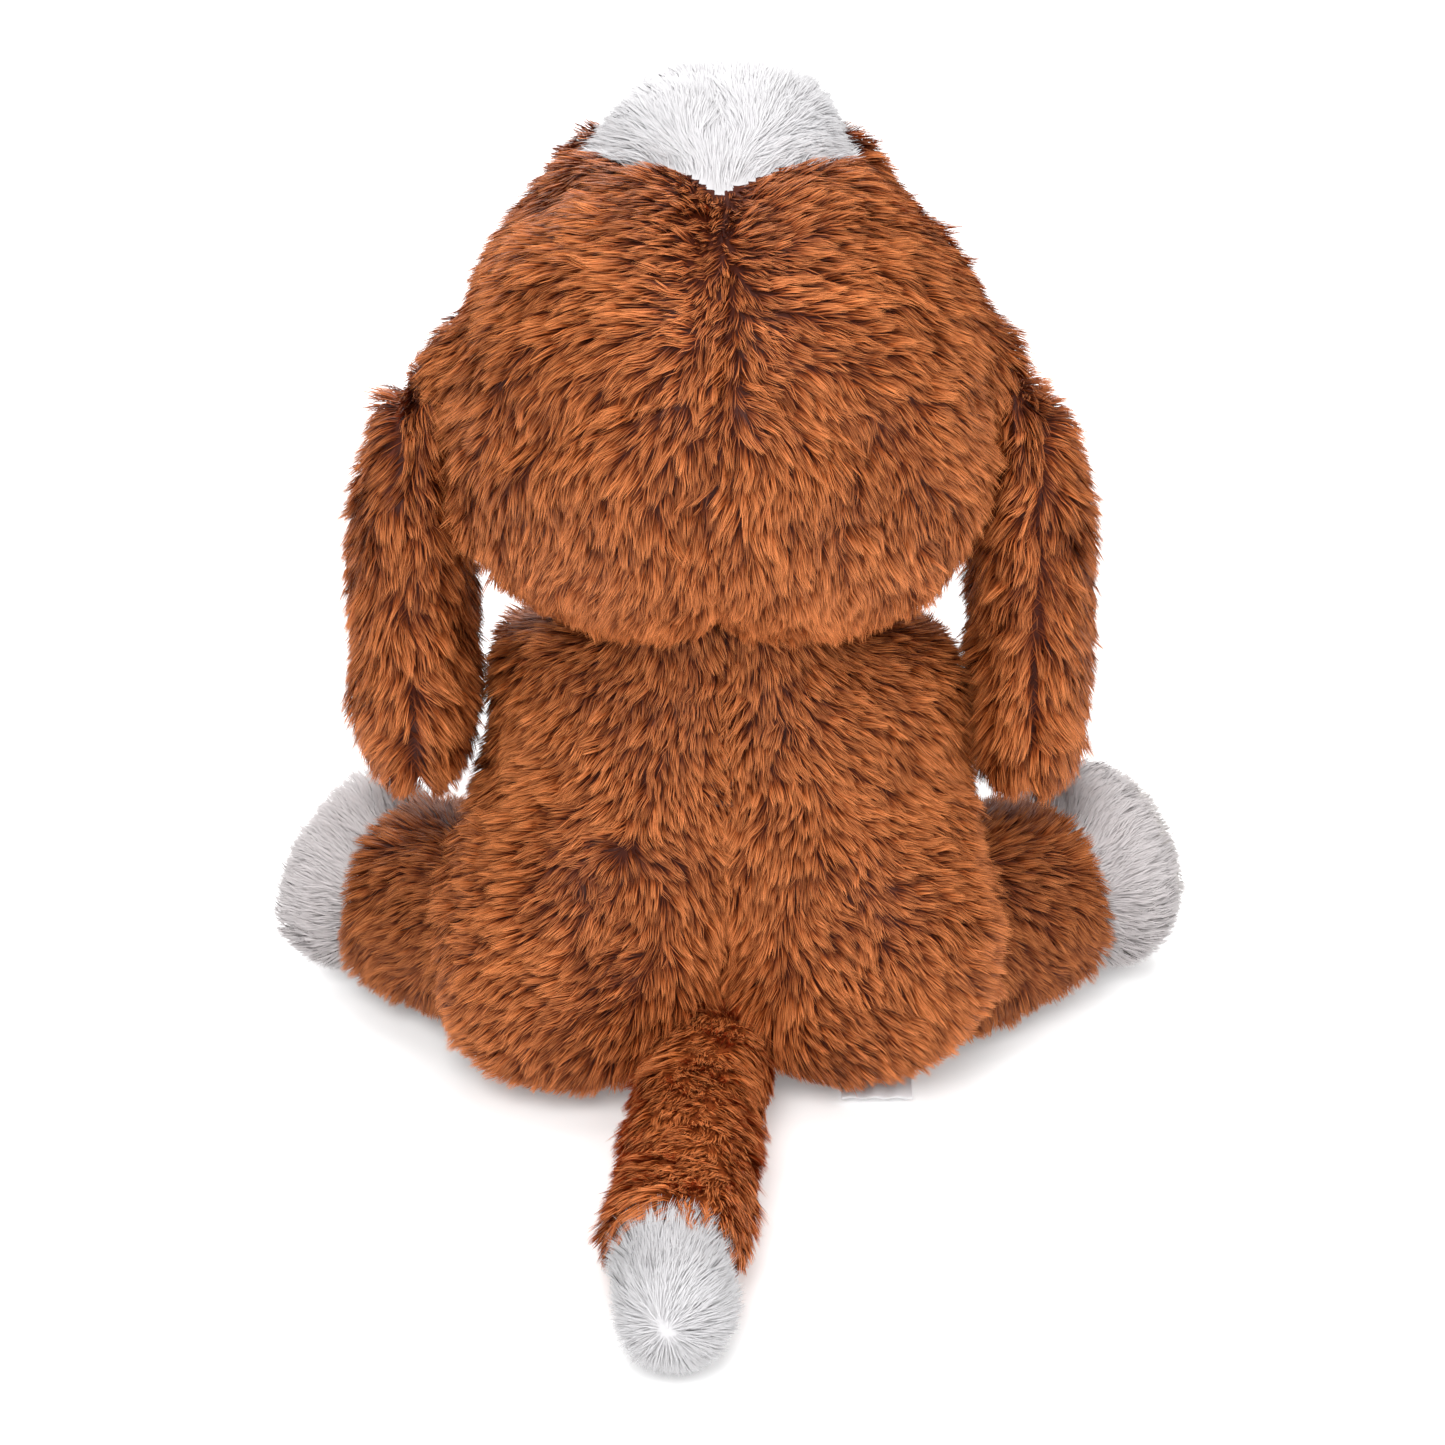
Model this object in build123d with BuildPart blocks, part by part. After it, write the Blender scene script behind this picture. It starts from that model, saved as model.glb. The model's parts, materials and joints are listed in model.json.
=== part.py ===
from build123d import *
import os
from math import atan2, cos, degrees, radians, sin, sqrt

# Sitting plush dog, in millimetres. The dog faces -Y, its tail points to +Y, +Z is up,
# and it sits on the plane z = 0. The left side of the dog is +X.

# ---- cloth and gaps -------------------------------------------------------------------
CLOTH = 4.0  # backing cloth with the matted foot of its pile
LAY_GAP = 0.3  # between pieces that lie against each other
SWING_GAP = 0.7  # between a limb's ball root and its pocket in the trunk
THREAD = 1.0

# ---- trunk ----------------------------------------------------------------------------
CHEST_LOBE = ((16, 3, 88), 53)
BELLY = ((0, 2, 54), 62)
SEAT_LOBE = ((43, 36, 43), 45)
NECK = ((0, 0, 150), 36)
BELLY_SEAM_Y = -17
POUCH_CENTRE = (0, 2, 28)
POUCH_RADIUS = 25
POUCH_HEIGHT = 36
POUCH_ROUNDING = 14
POUCH_CLOTH = 1.0
LIMB_ROOM_SIDE = 0.6  # more room beside a limb over its swing than round its root
LIMB_ROOM_TOP = 1.2  # and above and below it
LIMB_ROOM_REACH = 90
TAIL_ROOM_REACH = 60
ARM_ROOM_OUT = 40  # how far out of the shoulder the arm's room is centred

# ---- head -----------------------------------------------------------------------------
SKULL = ((0, -2, 214), 78)
FOREHEAD = ((0, -27, 244), 58)
MUZZLE_CENTRE = (0, -92, 190)
MUZZLE_RADIUS = 30
MUZZLE_HALF_SPREAD = 12
BLAZE_FLOOR = 200
CHIN_SEAM_Y = -62
BLAZE_FRONT = (28, -130)  # half width and y where the blaze runs down to the nose
BLAZE_WIDEST = (41, -24)  # half width and y over the crown
BLAZE_CURVE = (31, -1)
BLAZE_BACK = (0, 15)
BLAZE_HEIGHT = 130
MUZZLE_REGION = (-60, 60, -160, CHIN_SEAM_Y, 140, BLAZE_FLOOR + 18)
EYE_PLACE = (37, 236)  # x and z
EYE_RADIUS = 8.0
EYE_DOME = 6.0
EYE_ROUNDING = 5.2
EYE_SEAT = 0.4
EYE_REST = 0.15  # gap between an eye's back and the cloth
EYE_SHANK = 2.4
NOSE_CENTRE = (0, -119, 205)
NOSE_RADIUS = 8.5
NOSE_HALF_SPREAD = 5.5
NOSE_FACE_CENTRE = (0, -117.5, 205)
NOSE_FACE_HEADING = (0, -25.5, 15)
NOSE_SHANK = 3.0
SHANK_FIT = 0.1
SHANK_OVERRUN = 3  # how far a shank's hole runs out past the cloth
SHANK_LENGTH = 11
WASHER_RADIUS = 7.0
WASHER_THICKNESS = 2.0
EYE_WASHER_DEPTH = CLOTH + 0.7
NOSE_WASHER_DEPTH = CLOTH + 1.4
MOUTH_TOP = 193
MOUTH_FORK = (0, 183)
MOUTH_DIP = (9, 175)
MOUTH_CORNER = (19, 178)
MOUTH_WIDTH = 1.6
MOUTH_BACK_Y = -95
MOUTH_REACH = 50

# ---- ears -----------------------------------------------------------------------------
EAR_ROOT = (95, -8, 205)
# each row: height, half thickness, half width, centre of the section along X
EAR_SECTIONS = [
    (216, 7, 12, 91),
    (205, 13, 21, 94.5),
    (183, 15, 28, 96),
    (152, 16, 33, 97.5),
    (118, 16.5, 35, 97),
    (92, 15, 30, 96.5),
    (77, 6, 14, 95),
]

# ---- arms -----------------------------------------------------------------------------
SHOULDER = (55, -16, 114)
ARM_ROOT_RADIUS = 17.5
ARM_RADIUS = 16.5
WRIST = (56, -62, 72)
PAW_CENTRE = (57, -76, 60)
PAW_RADIUS = 21
ARM_SWING = (-10, 30)  # degrees, down and up

# ---- legs -----------------------------------------------------------------------------
HIP = (62, 18, 30)
LEG_ROOT_RADIUS = 33
LEG_RADIUS = 31
LEG_HEADING = -35  # degrees from +X, on the floor plan
LEG_REACH = 42
ANKLE_REACH = 53
FOOT_START = 50
FOOT_END = 84
FOOT_RADIUS = 31.5
FOOT_ROUNDING = 15
LEG_SPLAY = (-10, 20)

# ---- tail -----------------------------------------------------------------------------
TAIL_ROOT = (4, 70, 18)
TAIL_HEADING = 83  # degrees from +X, on the floor plan
TAIL_ROOT_RADIUS = 20
TAIL_RADIUS = 18.5
TAIL_REACH = 119
TAIL_TIP_REACH = 98
TAIL_WAG = 30

# ---- small trim -----------------------------------------------------------------------
STITCH_HEIGHTS = range(90, 126, 6)
STITCH_SIZE = (7, 1.2)
STITCH_REACH = 120
LABEL_SIZE = (22, 20, 0.8)
LABEL_CORNER = (-59, 46, 4)


# ---- plain shapes ---------------------------------------------------------------------


def save(builder, name):
    """Labels a finished piece and writes it to its own file."""
    builder.part.label = name
    export_step(builder.part, f"parts/{name}.step")


def ball(centre, radius):
    """Plain ball at a point."""
    with BuildPart() as body:
        Sphere(radius)
    return body.part.moved(Location(centre))


def slab(x_from, x_to, y_from, y_to, z_from, z_to):
    """Block between two corners."""
    with BuildPart() as body:
        Box(
            x_to - x_from,
            y_to - y_from,
            z_to - z_from,
            align=(Align.MIN, Align.MIN, Align.MIN),
        )
    return body.part.moved(Location((x_from, y_from, z_from)))


def above(height):
    """Everything above a height, as a large block."""
    return slab(-300, 300, -300, 300, height, 500)


def heading_between(start, end):
    """Unit heading from one point to another."""
    return (Vector(*end) - Vector(*start)).normalized()


def capsule(start, end, start_radius, end_radius):
    """Round-ended rod: a ball root at the start, and a slimmer round-ended rod from it."""
    length = (Vector(*end) - Vector(*start)).length
    neck = sqrt(start_radius**2 - end_radius**2)
    with BuildPart() as body:
        with BuildSketch():
            with BuildLine():
                Line((0, -start_radius), (0, length + end_radius))
                RadiusArc((0, length + end_radius), (end_radius, length), end_radius)
                Line((end_radius, length), (end_radius, neck))
                ThreePointArc((end_radius, neck), (start_radius, 0), (0, -start_radius))
            make_face()
        revolve(axis=Axis.Y)
    frame = Plane(origin=start, z_dir=heading_between(start, end))
    upright = body.part.rotate(Axis.X, 90)
    return frame.from_local_coords(upright)


def disc(start, heading, radius, length, rounding):
    """Round disc along a heading, with both rims rounded."""
    with BuildPart() as body:
        with BuildSketch(Plane(origin=start, z_dir=heading)):
            Circle(radius)
        extrude(amount=length)
        fillet(body.edges().filter_by(GeomType.CIRCLE), rounding)
    return body.part


def cross_capsule(centre, radius, half_spread):
    """Round-ended rod that lies across the dog, along X."""
    x, y, z = centre
    return capsule((x - half_spread, y, z), (x + half_spread, y, z), radius + 0.01, radius)


def fan(pivot, headings, half_width, reach, plane, half_thickness):
    """Wedge-shaped plate that clears a rod's sweep about a pivot, from one heading to another."""
    first, last = (radians(h) for h in headings)
    px, py = pivot
    first_side = (half_width * sin(first), -half_width * cos(first))
    last_side = (-half_width * sin(last), half_width * cos(last))
    first_end = (px + reach * cos(first), py + reach * sin(first))
    last_end = (px + reach * cos(last), py + reach * sin(last))
    corners = [
        (px + first_side[0], py + first_side[1]),
        (first_end[0] + first_side[0], first_end[1] + first_side[1]),
        (last_end[0] + last_side[0], last_end[1] + last_side[1]),
        (px + last_side[0], py + last_side[1]),
    ]
    with BuildPart() as body:
        with BuildSketch(plane):
            with BuildLine():
                Polyline(*corners, close=True)
            make_face()
        extrude(amount=half_thickness, both=True)
    return body.part


def flipped(part, side):
    """The same solid on the dog's left (+1) or, mirrored, on its right (-1)."""
    return part if side > 0 else part.mirror(Plane.YZ)


# ---- outer forms; a form's inset makes it smaller all round ---------------------------


def leg_point(reach):
    """A point on the left leg's axis, from the hip."""
    x = HIP[0] + reach * cos(radians(LEG_HEADING))
    y = HIP[1] + reach * sin(radians(LEG_HEADING))
    return (x, y, HIP[2])


LEG_DIRECTION = heading_between(HIP, leg_point(ANKLE_REACH))


def leg_form(inset):
    """The left leg with its upright foot, flat where it rests on the floor."""
    end = leg_point(LEG_REACH)
    foot_length = FOOT_END - FOOT_START - 2 * inset
    with BuildPart() as body:
        add(capsule(HIP, end, LEG_ROOT_RADIUS - inset, LEG_RADIUS - inset))
        add(
            disc(
                leg_point(FOOT_START + inset),
                LEG_DIRECTION,
                FOOT_RADIUS - inset,
                foot_length,
                FOOT_ROUNDING - inset,
            )
        )
        add(above(inset), mode=Mode.INTERSECT)
    return body.part


def arm_form(inset):
    """The left arm with its paw."""
    with BuildPart() as body:
        add(capsule(SHOULDER, WRIST, ARM_ROOT_RADIUS - inset, ARM_RADIUS - inset))
        add(ball(PAW_CENTRE, PAW_RADIUS - inset))
    return body.part


def tail_point(reach):
    """A point on the tail's axis, from its root."""
    x = TAIL_ROOT[0] + reach * cos(radians(TAIL_HEADING))
    y = TAIL_ROOT[1] + reach * sin(radians(TAIL_HEADING))
    return (x, y, TAIL_ROOT[2])


def tail_form(inset):
    """The tail, flat where it rests on the floor."""
    end = tail_point(TAIL_REACH)
    with BuildPart() as body:
        add(capsule(TAIL_ROOT, end, TAIL_ROOT_RADIUS - inset, TAIL_RADIUS - inset))
        add(above(inset), mode=Mode.INTERSECT)
    return body.part


def limb_rooms(inset):
    """Pockets in the trunk, one per limb, that clear the limb over its whole swing."""
    grown = SWING_GAP + inset
    side_room = grown + LIMB_ROOM_SIDE
    top_room = grown + LIMB_ROOM_TOP
    tail_fan = fan(
        TAIL_ROOT[:2],
        (TAIL_HEADING - TAIL_WAG, TAIL_HEADING + TAIL_WAG),
        TAIL_ROOT_RADIUS + side_room,
        TAIL_ROOM_REACH,
        Plane.XY.offset(TAIL_ROOT[2]),
        TAIL_ROOT_RADIUS + top_room,
    )
    leg_fan = fan(
        HIP[:2],
        (LEG_HEADING + LEG_SPLAY[0], LEG_HEADING + LEG_SPLAY[1]),
        LEG_ROOT_RADIUS + side_room,
        LIMB_ROOM_REACH,
        Plane.XY.offset(HIP[2]),
        LEG_ROOT_RADIUS + top_room,
    )
    rest = degrees(atan2(WRIST[2] - SHOULDER[2], WRIST[1] - SHOULDER[1]))
    arm_fan = fan(
        SHOULDER[1:],
        (rest - ARM_SWING[1], rest - ARM_SWING[0]),
        ARM_ROOT_RADIUS + side_room,
        LIMB_ROOM_REACH,
        Plane.YZ.offset(SHOULDER[0] + ARM_ROOM_OUT),
        ARM_ROOM_OUT + ARM_ROOT_RADIUS + grown,
    )
    rooms = [ball(TAIL_ROOT, TAIL_ROOT_RADIUS + grown), tail_fan]
    for side in (1, -1):
        rooms.append(flipped(ball(HIP, LEG_ROOT_RADIUS + grown), side))
        rooms.append(flipped(leg_fan, side))
        rooms.append(flipped(ball(SHOULDER, ARM_ROOT_RADIUS + grown), side))
        rooms.append(flipped(arm_fan, side))
    return rooms


def torso_form(inset):
    """Pear-shaped trunk with two round seat lobes, a neck dome and pockets for the limbs."""
    with BuildPart() as body:
        for centre, radius in (BELLY, NECK):
            add(ball(centre, radius - inset))
        for centre, radius in (CHEST_LOBE, SEAT_LOBE):
            lobe = ball(centre, radius - inset)
            add(lobe)
            add(flipped(lobe, -1))
        add(above(inset), mode=Mode.INTERSECT)
        for room in limb_rooms(inset):
            add(room, mode=Mode.SUBTRACT)
    return body.part


def head_form(inset):
    """Round skull with a full forehead and a muzzle, hollowed where it sits on the neck."""
    with BuildPart() as body:
        for centre, radius in (SKULL, FOREHEAD):
            add(ball(centre, radius - inset))
        add(cross_capsule(MUZZLE_CENTRE, MUZZLE_RADIUS - inset, MUZZLE_HALF_SPREAD))
        add(ball(NECK[0], NECK[1] + SWING_GAP + inset), mode=Mode.SUBTRACT)
    return body.part


def ear_form():
    """The left ear, a long flap that hangs beside the head."""
    with BuildPart() as body:
        for height, half_thickness, half_width, centre_x in EAR_SECTIONS:
            with BuildSketch(Plane.XY.offset(height)):
                with Locations((centre_x, EAR_ROOT[1])):
                    Ellipse(half_thickness, half_width)
        loft()
    return body.part


def across(point):
    """A point of the plan on the dog's other side."""
    return (-point[0], point[1])


def blaze_region():
    """Upright column over the crown where the head's cloth is white."""
    chin = (BLAZE_FRONT[0], CHIN_SEAM_Y)
    front = [BLAZE_WIDEST, chin, BLAZE_FRONT]
    with BuildPart() as region:
        with BuildSketch(Plane.XY.offset(BLAZE_FLOOR)):
            with BuildLine():
                Polyline(*front, *(across(point) for point in reversed(front)))
                ThreePointArc(across(BLAZE_WIDEST), across(BLAZE_CURVE), BLAZE_BACK)
                ThreePointArc(BLAZE_BACK, BLAZE_CURVE, BLAZE_WIDEST)
            make_face()
        extrude(amount=BLAZE_HEIGHT)
    return region.part


def shell(outer, inner):
    """Cloth between an outer form and an inner one."""
    with BuildPart() as body:
        add(outer)
        add(inner, mode=Mode.SUBTRACT)
    return body.part


def cut(part, *cutters, keep_inside=None):
    """A piece of a shell: inside one region, and outside some others."""
    with BuildPart() as body:
        add(part)
        if keep_inside is not None:
            add(keep_inside, mode=Mode.INTERSECT)
        for cutter in cutters:
            add(cutter, mode=Mode.SUBTRACT)
    return body


os.makedirs("parts", exist_ok=True)

# ---- trunk ----------------------------------------------------------------------------
torso_cloth = shell(torso_form(0), torso_form(CLOTH))
TORSO_PANELS = {
    "torso_belly": (-200, 200, -200, BELLY_SEAM_Y, -10, 300),
    "torso_back_left": (0, 200, BELLY_SEAM_Y, 200, -10, 300),
    "torso_back_right": (-200, 0, BELLY_SEAM_Y, 200, -10, 300),
}
for panel_name, reach in TORSO_PANELS.items():
    save(cut(torso_cloth, keep_inside=slab(*reach)), panel_name)


def pouch_form(inset):
    """Flat round bag of pellets, with rounded rims."""
    x, y, z = POUCH_CENTRE
    height = POUCH_HEIGHT - 2 * inset
    start = (x, y, z - height / 2)
    return disc(start, (0, 0, 1), POUCH_RADIUS - inset, height, POUCH_ROUNDING - inset)


with BuildPart() as torso_filling:
    add(torso_form(CLOTH + LAY_GAP))
    add(ball(NECK[0], NECK[1] - CLOTH), mode=Mode.SUBTRACT)
    add(pouch_form(-LAY_GAP), mode=Mode.SUBTRACT)
save(torso_filling, "torso_filling")

with BuildPart() as neck_filling:
    add(ball(NECK[0], NECK[1] - CLOTH - 2 * LAY_GAP))
save(neck_filling, "neck_filling")

with BuildPart() as pellet_pouch:
    add(pouch_form(0))
    add(pouch_form(POUCH_CLOTH), mode=Mode.SUBTRACT)
save(pellet_pouch, "pellet_pouch")

with BuildPart() as pellets:
    add(pouch_form(POUCH_CLOTH + LAY_GAP))
save(pellets, "pellets")


# ---- face fittings --------------------------------------------------------------------


def eye_plane(side):
    """The plane on the head's surface where an eye sits, its normal pointing out."""
    x, z = EYE_PLACE
    fronts = []
    for (_, cy, cz), radius in (SKULL, FOREHEAD):
        y = cy - sqrt(radius**2 - x**2 - (z - cz) ** 2)
        fronts.append((y, Vector(side * x, y - cy, z - cz)))
    y, normal = min(fronts, key=lambda front: front[0])
    return Plane(origin=(side * x, y, z), z_dir=normal)


def along(plane, depth, radius, length):
    """Round rod that starts at a depth on a plane and runs along its normal."""
    with BuildPart() as body:
        with BuildSketch(plane.offset(depth)):
            Circle(radius)
        extrude(amount=length)
    return body.part


def shank_hole(plane, shank):
    """Hole through cloth and filling for a fitting's shank."""
    length = SHANK_LENGTH + SHANK_OVERRUN
    return along(plane, -SHANK_LENGTH - LAY_GAP, shank + SHANK_FIT, length)


def washer_room(plane, depth):
    """Room in the filling for a washer, open up to the cloth."""
    foot = depth + WASHER_THICKNESS + LAY_GAP
    return along(plane, -foot, WASHER_RADIUS + LAY_GAP, foot)


def washer(plane, shank, depth):
    """Lock washer that holds a fitting's shank from inside."""
    with BuildPart() as body:
        add(along(plane, -depth - WASHER_THICKNESS, WASHER_RADIUS, WASHER_THICKNESS))
        add(along(plane, -SHANK_LENGTH, shank + SHANK_FIT, SHANK_LENGTH), mode=Mode.SUBTRACT)
    return body.part


def eye_form(plane):
    """Domed eye on its shank."""
    with BuildPart() as dome:
        with BuildSketch(plane.offset(EYE_SEAT)):
            Circle(EYE_RADIUS)
        extrude(amount=EYE_DOME)
        rims = dome.edges().filter_by(GeomType.CIRCLE).sort_by_distance(plane.origin)
        fillet(rims[-1], EYE_ROUNDING)
        add(along(plane, -SHANK_LENGTH, EYE_SHANK, SHANK_LENGTH + 1))
    return dome.part


NOSE_FACE = Plane(origin=NOSE_FACE_CENTRE, z_dir=NOSE_FACE_HEADING)
EYE_FACES = {"left": eye_plane(1), "right": eye_plane(-1)}
shank_holes = [shank_hole(NOSE_FACE, NOSE_SHANK)]
washer_rooms = [washer_room(NOSE_FACE, NOSE_WASHER_DEPTH)]
for face in EYE_FACES.values():
    shank_holes.append(shank_hole(face, EYE_SHANK))
    shank_holes.append(along(face, EYE_SEAT - EYE_REST, EYE_RADIUS + LAY_GAP, EYE_DOME))
    washer_rooms.append(washer_room(face, EYE_WASHER_DEPTH))

# ---- head -----------------------------------------------------------------------------
head_cloth = shell(head_form(0), head_form(CLOTH))
blaze = blaze_region()
muzzle_region = slab(*MUZZLE_REGION)
HEAD_SIDES = {"left": (0, 200), "right": (-200, 0)}
for side_name, edges in HEAD_SIDES.items():
    half = slab(*edges, -200, 200, 0, 400)
    head_panel = cut(head_cloth, blaze, muzzle_region, *shank_holes, keep_inside=half)
    save(head_panel, f"head_{side_name}")

with BuildPart() as white_region:
    add(blaze)
    add(muzzle_region)
save(cut(head_cloth, *shank_holes, keep_inside=white_region.part), "face_panel")

save(cut(head_form(CLOTH + LAY_GAP), *shank_holes, *washer_rooms), "head_filling")

for side_name, face in EYE_FACES.items():
    with BuildPart() as eye:
        add(eye_form(face))
    save(eye, f"eye_{side_name}")

with BuildPart() as eye_washers:
    for face in EYE_FACES.values():
        add(washer(face, EYE_SHANK, EYE_WASHER_DEPTH))
save(eye_washers, "eye_washers")

muzzle_face = cross_capsule(MUZZLE_CENTRE, MUZZLE_RADIUS + LAY_GAP, MUZZLE_HALF_SPREAD)
thread_top = MUZZLE_RADIUS + LAY_GAP + THREAD
muzzle_thread = cross_capsule(MUZZLE_CENTRE, thread_top, MUZZLE_HALF_SPREAD)

with BuildPart() as nose:
    add(cross_capsule(NOSE_CENTRE, NOSE_RADIUS, NOSE_HALF_SPREAD))
    add(muzzle_face, mode=Mode.SUBTRACT)
    add(along(NOSE_FACE, -SHANK_LENGTH, NOSE_SHANK, SHANK_LENGTH + SHANK_OVERRUN))
save(nose, "nose")

with BuildPart() as nose_washer:
    add(washer(NOSE_FACE, NOSE_SHANK, NOSE_WASHER_DEPTH))
save(nose_washer, "nose_washer")

with BuildPart() as mouth_stitching:
    with BuildSketch(Plane.XZ.offset(-MOUTH_BACK_Y)):
        with BuildLine():
            Line((0, MOUTH_TOP), MOUTH_FORK)
            ThreePointArc(MOUTH_FORK, MOUTH_DIP, MOUTH_CORNER)
            ThreePointArc(MOUTH_FORK, across(MOUTH_DIP), across(MOUTH_CORNER))
        trace(line_width=MOUTH_WIDTH)
    extrude(amount=MOUTH_REACH)
    add(muzzle_thread, mode=Mode.INTERSECT)
    add(muzzle_face, mode=Mode.SUBTRACT)
save(mouth_stitching, "mouth_stitching")

# ---- ears -----------------------------------------------------------------------------
left_ear = ear_form()
EAR_LAYERS = {"outer": (EAR_ROOT[0], 200), "lining": (0, EAR_ROOT[0])}
for side_name, side in {"left": 1, "right": -1}.items():
    for layer_name, reach in EAR_LAYERS.items():
        with BuildPart() as left_layer:
            add(left_ear)
            add(slab(*reach, -200, 200, 0, 400), mode=Mode.INTERSECT)
        with BuildPart() as ear_layer:
            add(flipped(left_layer.part, side))
        save(ear_layer, f"ear_{side_name}_{layer_name}")

# ---- arms and legs --------------------------------------------------------------------
WRIST_SEAM = Plane(origin=WRIST, z_dir=heading_between(SHOULDER, WRIST))
ANKLE_SEAM = Plane(origin=leg_point(ANKLE_REACH), z_dir=LEG_DIRECTION)
SOLE_SEAM = Plane(origin=leg_point(FOOT_END - CLOTH), z_dir=LEG_DIRECTION)


def part_of(cloth, *cuts):
    """The stretch of a sewn tube between seam planes, each given with the side to keep."""
    with BuildPart() as body:
        add(cloth)
        for seam, keep in cuts:
            split(bisect_by=seam, keep=keep)
    return body.part


arm_cloth = shell(arm_form(0), arm_form(CLOTH))
leg_cloth = shell(leg_form(0), leg_form(CLOTH))
LEFT_LIMB_PIECES = {
    "arm_{}_sleeve": part_of(arm_cloth, (WRIST_SEAM, Keep.BOTTOM)),
    "arm_{}_paw": part_of(arm_cloth, (WRIST_SEAM, Keep.TOP)),
    "arm_{}_filling": arm_form(CLOTH + LAY_GAP),
    "leg_{}_sleeve": part_of(leg_cloth, (ANKLE_SEAM, Keep.BOTTOM)),
    "leg_{}_foot": part_of(leg_cloth, (ANKLE_SEAM, Keep.TOP), (SOLE_SEAM, Keep.BOTTOM)),
    "leg_{}_sole": part_of(leg_cloth, (SOLE_SEAM, Keep.TOP)),
    "leg_{}_filling": leg_form(CLOTH + LAY_GAP),
}
for pattern, left_piece in LEFT_LIMB_PIECES.items():
    for side_name, side in {"left": 1, "right": -1}.items():
        with BuildPart() as limb_piece:
            add(flipped(left_piece, side))
        save(limb_piece, pattern.format(side_name))

# ---- tail -----------------------------------------------------------------------------
tail_cloth = shell(tail_form(0), tail_form(CLOTH))
TAIL_DIRECTION = heading_between(TAIL_ROOT, tail_point(1))
TIP_SEAM = Plane(origin=tail_point(TAIL_TIP_REACH), z_dir=TAIL_DIRECTION)
with BuildPart() as tail_sleeve:
    add(part_of(tail_cloth, (TIP_SEAM, Keep.BOTTOM)))
save(tail_sleeve, "tail_sleeve")

with BuildPart() as tail_tip:
    add(part_of(tail_cloth, (TIP_SEAM, Keep.TOP)))
save(tail_tip, "tail_tip")

with BuildPart() as tail_filling:
    add(tail_form(CLOTH + LAY_GAP))
save(tail_filling, "tail_filling")

# ---- small trim on the trunk ----------------------------------------------------------
with BuildPart() as closing_stitches:
    with BuildSketch(Plane.XZ):
        for height in STITCH_HEIGHTS:
            with Locations((0, height)):
                SlotOverall(*STITCH_SIZE)
    extrude(amount=-STITCH_REACH)
    with BuildPart(mode=Mode.PRIVATE) as chest_back:
        for side in (1, -1):
            centre, radius = CHEST_LOBE
            add(flipped(ball(centre, radius + LAY_GAP + THREAD), side))
    add(chest_back.part, mode=Mode.INTERSECT)
    for side in (1, -1):
        for centre, radius in (CHEST_LOBE, SEAT_LOBE, BELLY):
            add(flipped(ball(centre, radius + LAY_GAP), side), mode=Mode.SUBTRACT)
save(closing_stitches, "closing_stitches")

with BuildPart() as care_label:
    x, y, z = LABEL_CORNER
    width, length, thickness = LABEL_SIZE
    add(slab(x, x + width, y, y + length, z, z + thickness))
    add(flipped(ball(SEAT_LOBE[0], SEAT_LOBE[1] + LAY_GAP), -1), mode=Mode.SUBTRACT)
save(care_label, "care_label")
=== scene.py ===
"""Sitting plush dog: stuffed cloth skins, each with its own combed pile, and a glossy face.

The dog faces -Y, its tail points to +Y, its left side is +X, and it sits on the plane z = 0.
All lengths are in metres and all angles are in degrees.
"""

import json
import logging
import math
from collections.abc import Callable, Sequence
from dataclasses import dataclass, field, replace
from enum import Enum

import bpy
import numpy as np
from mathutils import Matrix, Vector
from mathutils.kdtree import KDTree


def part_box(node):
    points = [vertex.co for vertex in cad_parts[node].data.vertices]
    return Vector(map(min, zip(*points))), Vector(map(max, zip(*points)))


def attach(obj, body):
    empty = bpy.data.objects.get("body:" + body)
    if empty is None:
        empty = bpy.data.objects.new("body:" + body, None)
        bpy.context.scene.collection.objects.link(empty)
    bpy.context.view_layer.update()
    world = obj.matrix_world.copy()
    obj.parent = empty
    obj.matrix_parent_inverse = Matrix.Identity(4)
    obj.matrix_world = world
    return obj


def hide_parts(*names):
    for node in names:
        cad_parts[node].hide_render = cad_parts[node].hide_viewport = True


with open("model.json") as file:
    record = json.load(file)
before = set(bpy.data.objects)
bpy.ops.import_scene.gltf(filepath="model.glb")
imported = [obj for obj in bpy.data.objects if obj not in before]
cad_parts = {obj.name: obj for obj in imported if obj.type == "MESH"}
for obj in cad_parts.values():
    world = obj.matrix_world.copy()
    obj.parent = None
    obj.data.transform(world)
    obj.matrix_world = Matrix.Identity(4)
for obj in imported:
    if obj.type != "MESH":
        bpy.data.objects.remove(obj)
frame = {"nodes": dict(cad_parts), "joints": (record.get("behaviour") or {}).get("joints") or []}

log = logging.getLogger("plush_dog")

Array = np.ndarray
Place = tuple[float, float, float]
Colour = tuple[float, float, float]
Flow = Callable[[Array, Array], Array]

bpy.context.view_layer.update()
BAKE_MAP = "OFBake"

SLOPE_STEP = 0.0005  # for the slope of a form's distance
SKIN_STEP = 0.005  # stitch size of a skin before it is stuffed
SKIN_ROUNDS = 4  # how often a new skin is smoothed and laid back on its form
PIECE_TRIANGLES = 198_000  # most triangles in one piece
FLOOR_CLEAR = 0.0006  # the lowest that pile lies above the floor
REST_BAND = (0.004, 0.010)  # heights between which the cloth comes free of the floor
SHORT_PILE_BAND = (0.004, 0.024)  # heights between which the pile is short, near the floor
PLASTIC_GRAIN_DEPTH = 0.0005
YARN_DEPTH = 0.0002
YARN_RELIEF = 0.4


# ---- plain geometry ---------------------------------------------------------------------


def unit(vectors: Array) -> Array:
    """Vectors scaled to length one."""
    return vectors / np.maximum(np.linalg.norm(vectors, axis=-1, keepdims=True), 1e-12)


def dot(first: Array, second: Array) -> Array:
    """Row by row scalar product, kept as a column."""
    return (first * second).sum(-1, keepdims=True)


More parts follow.
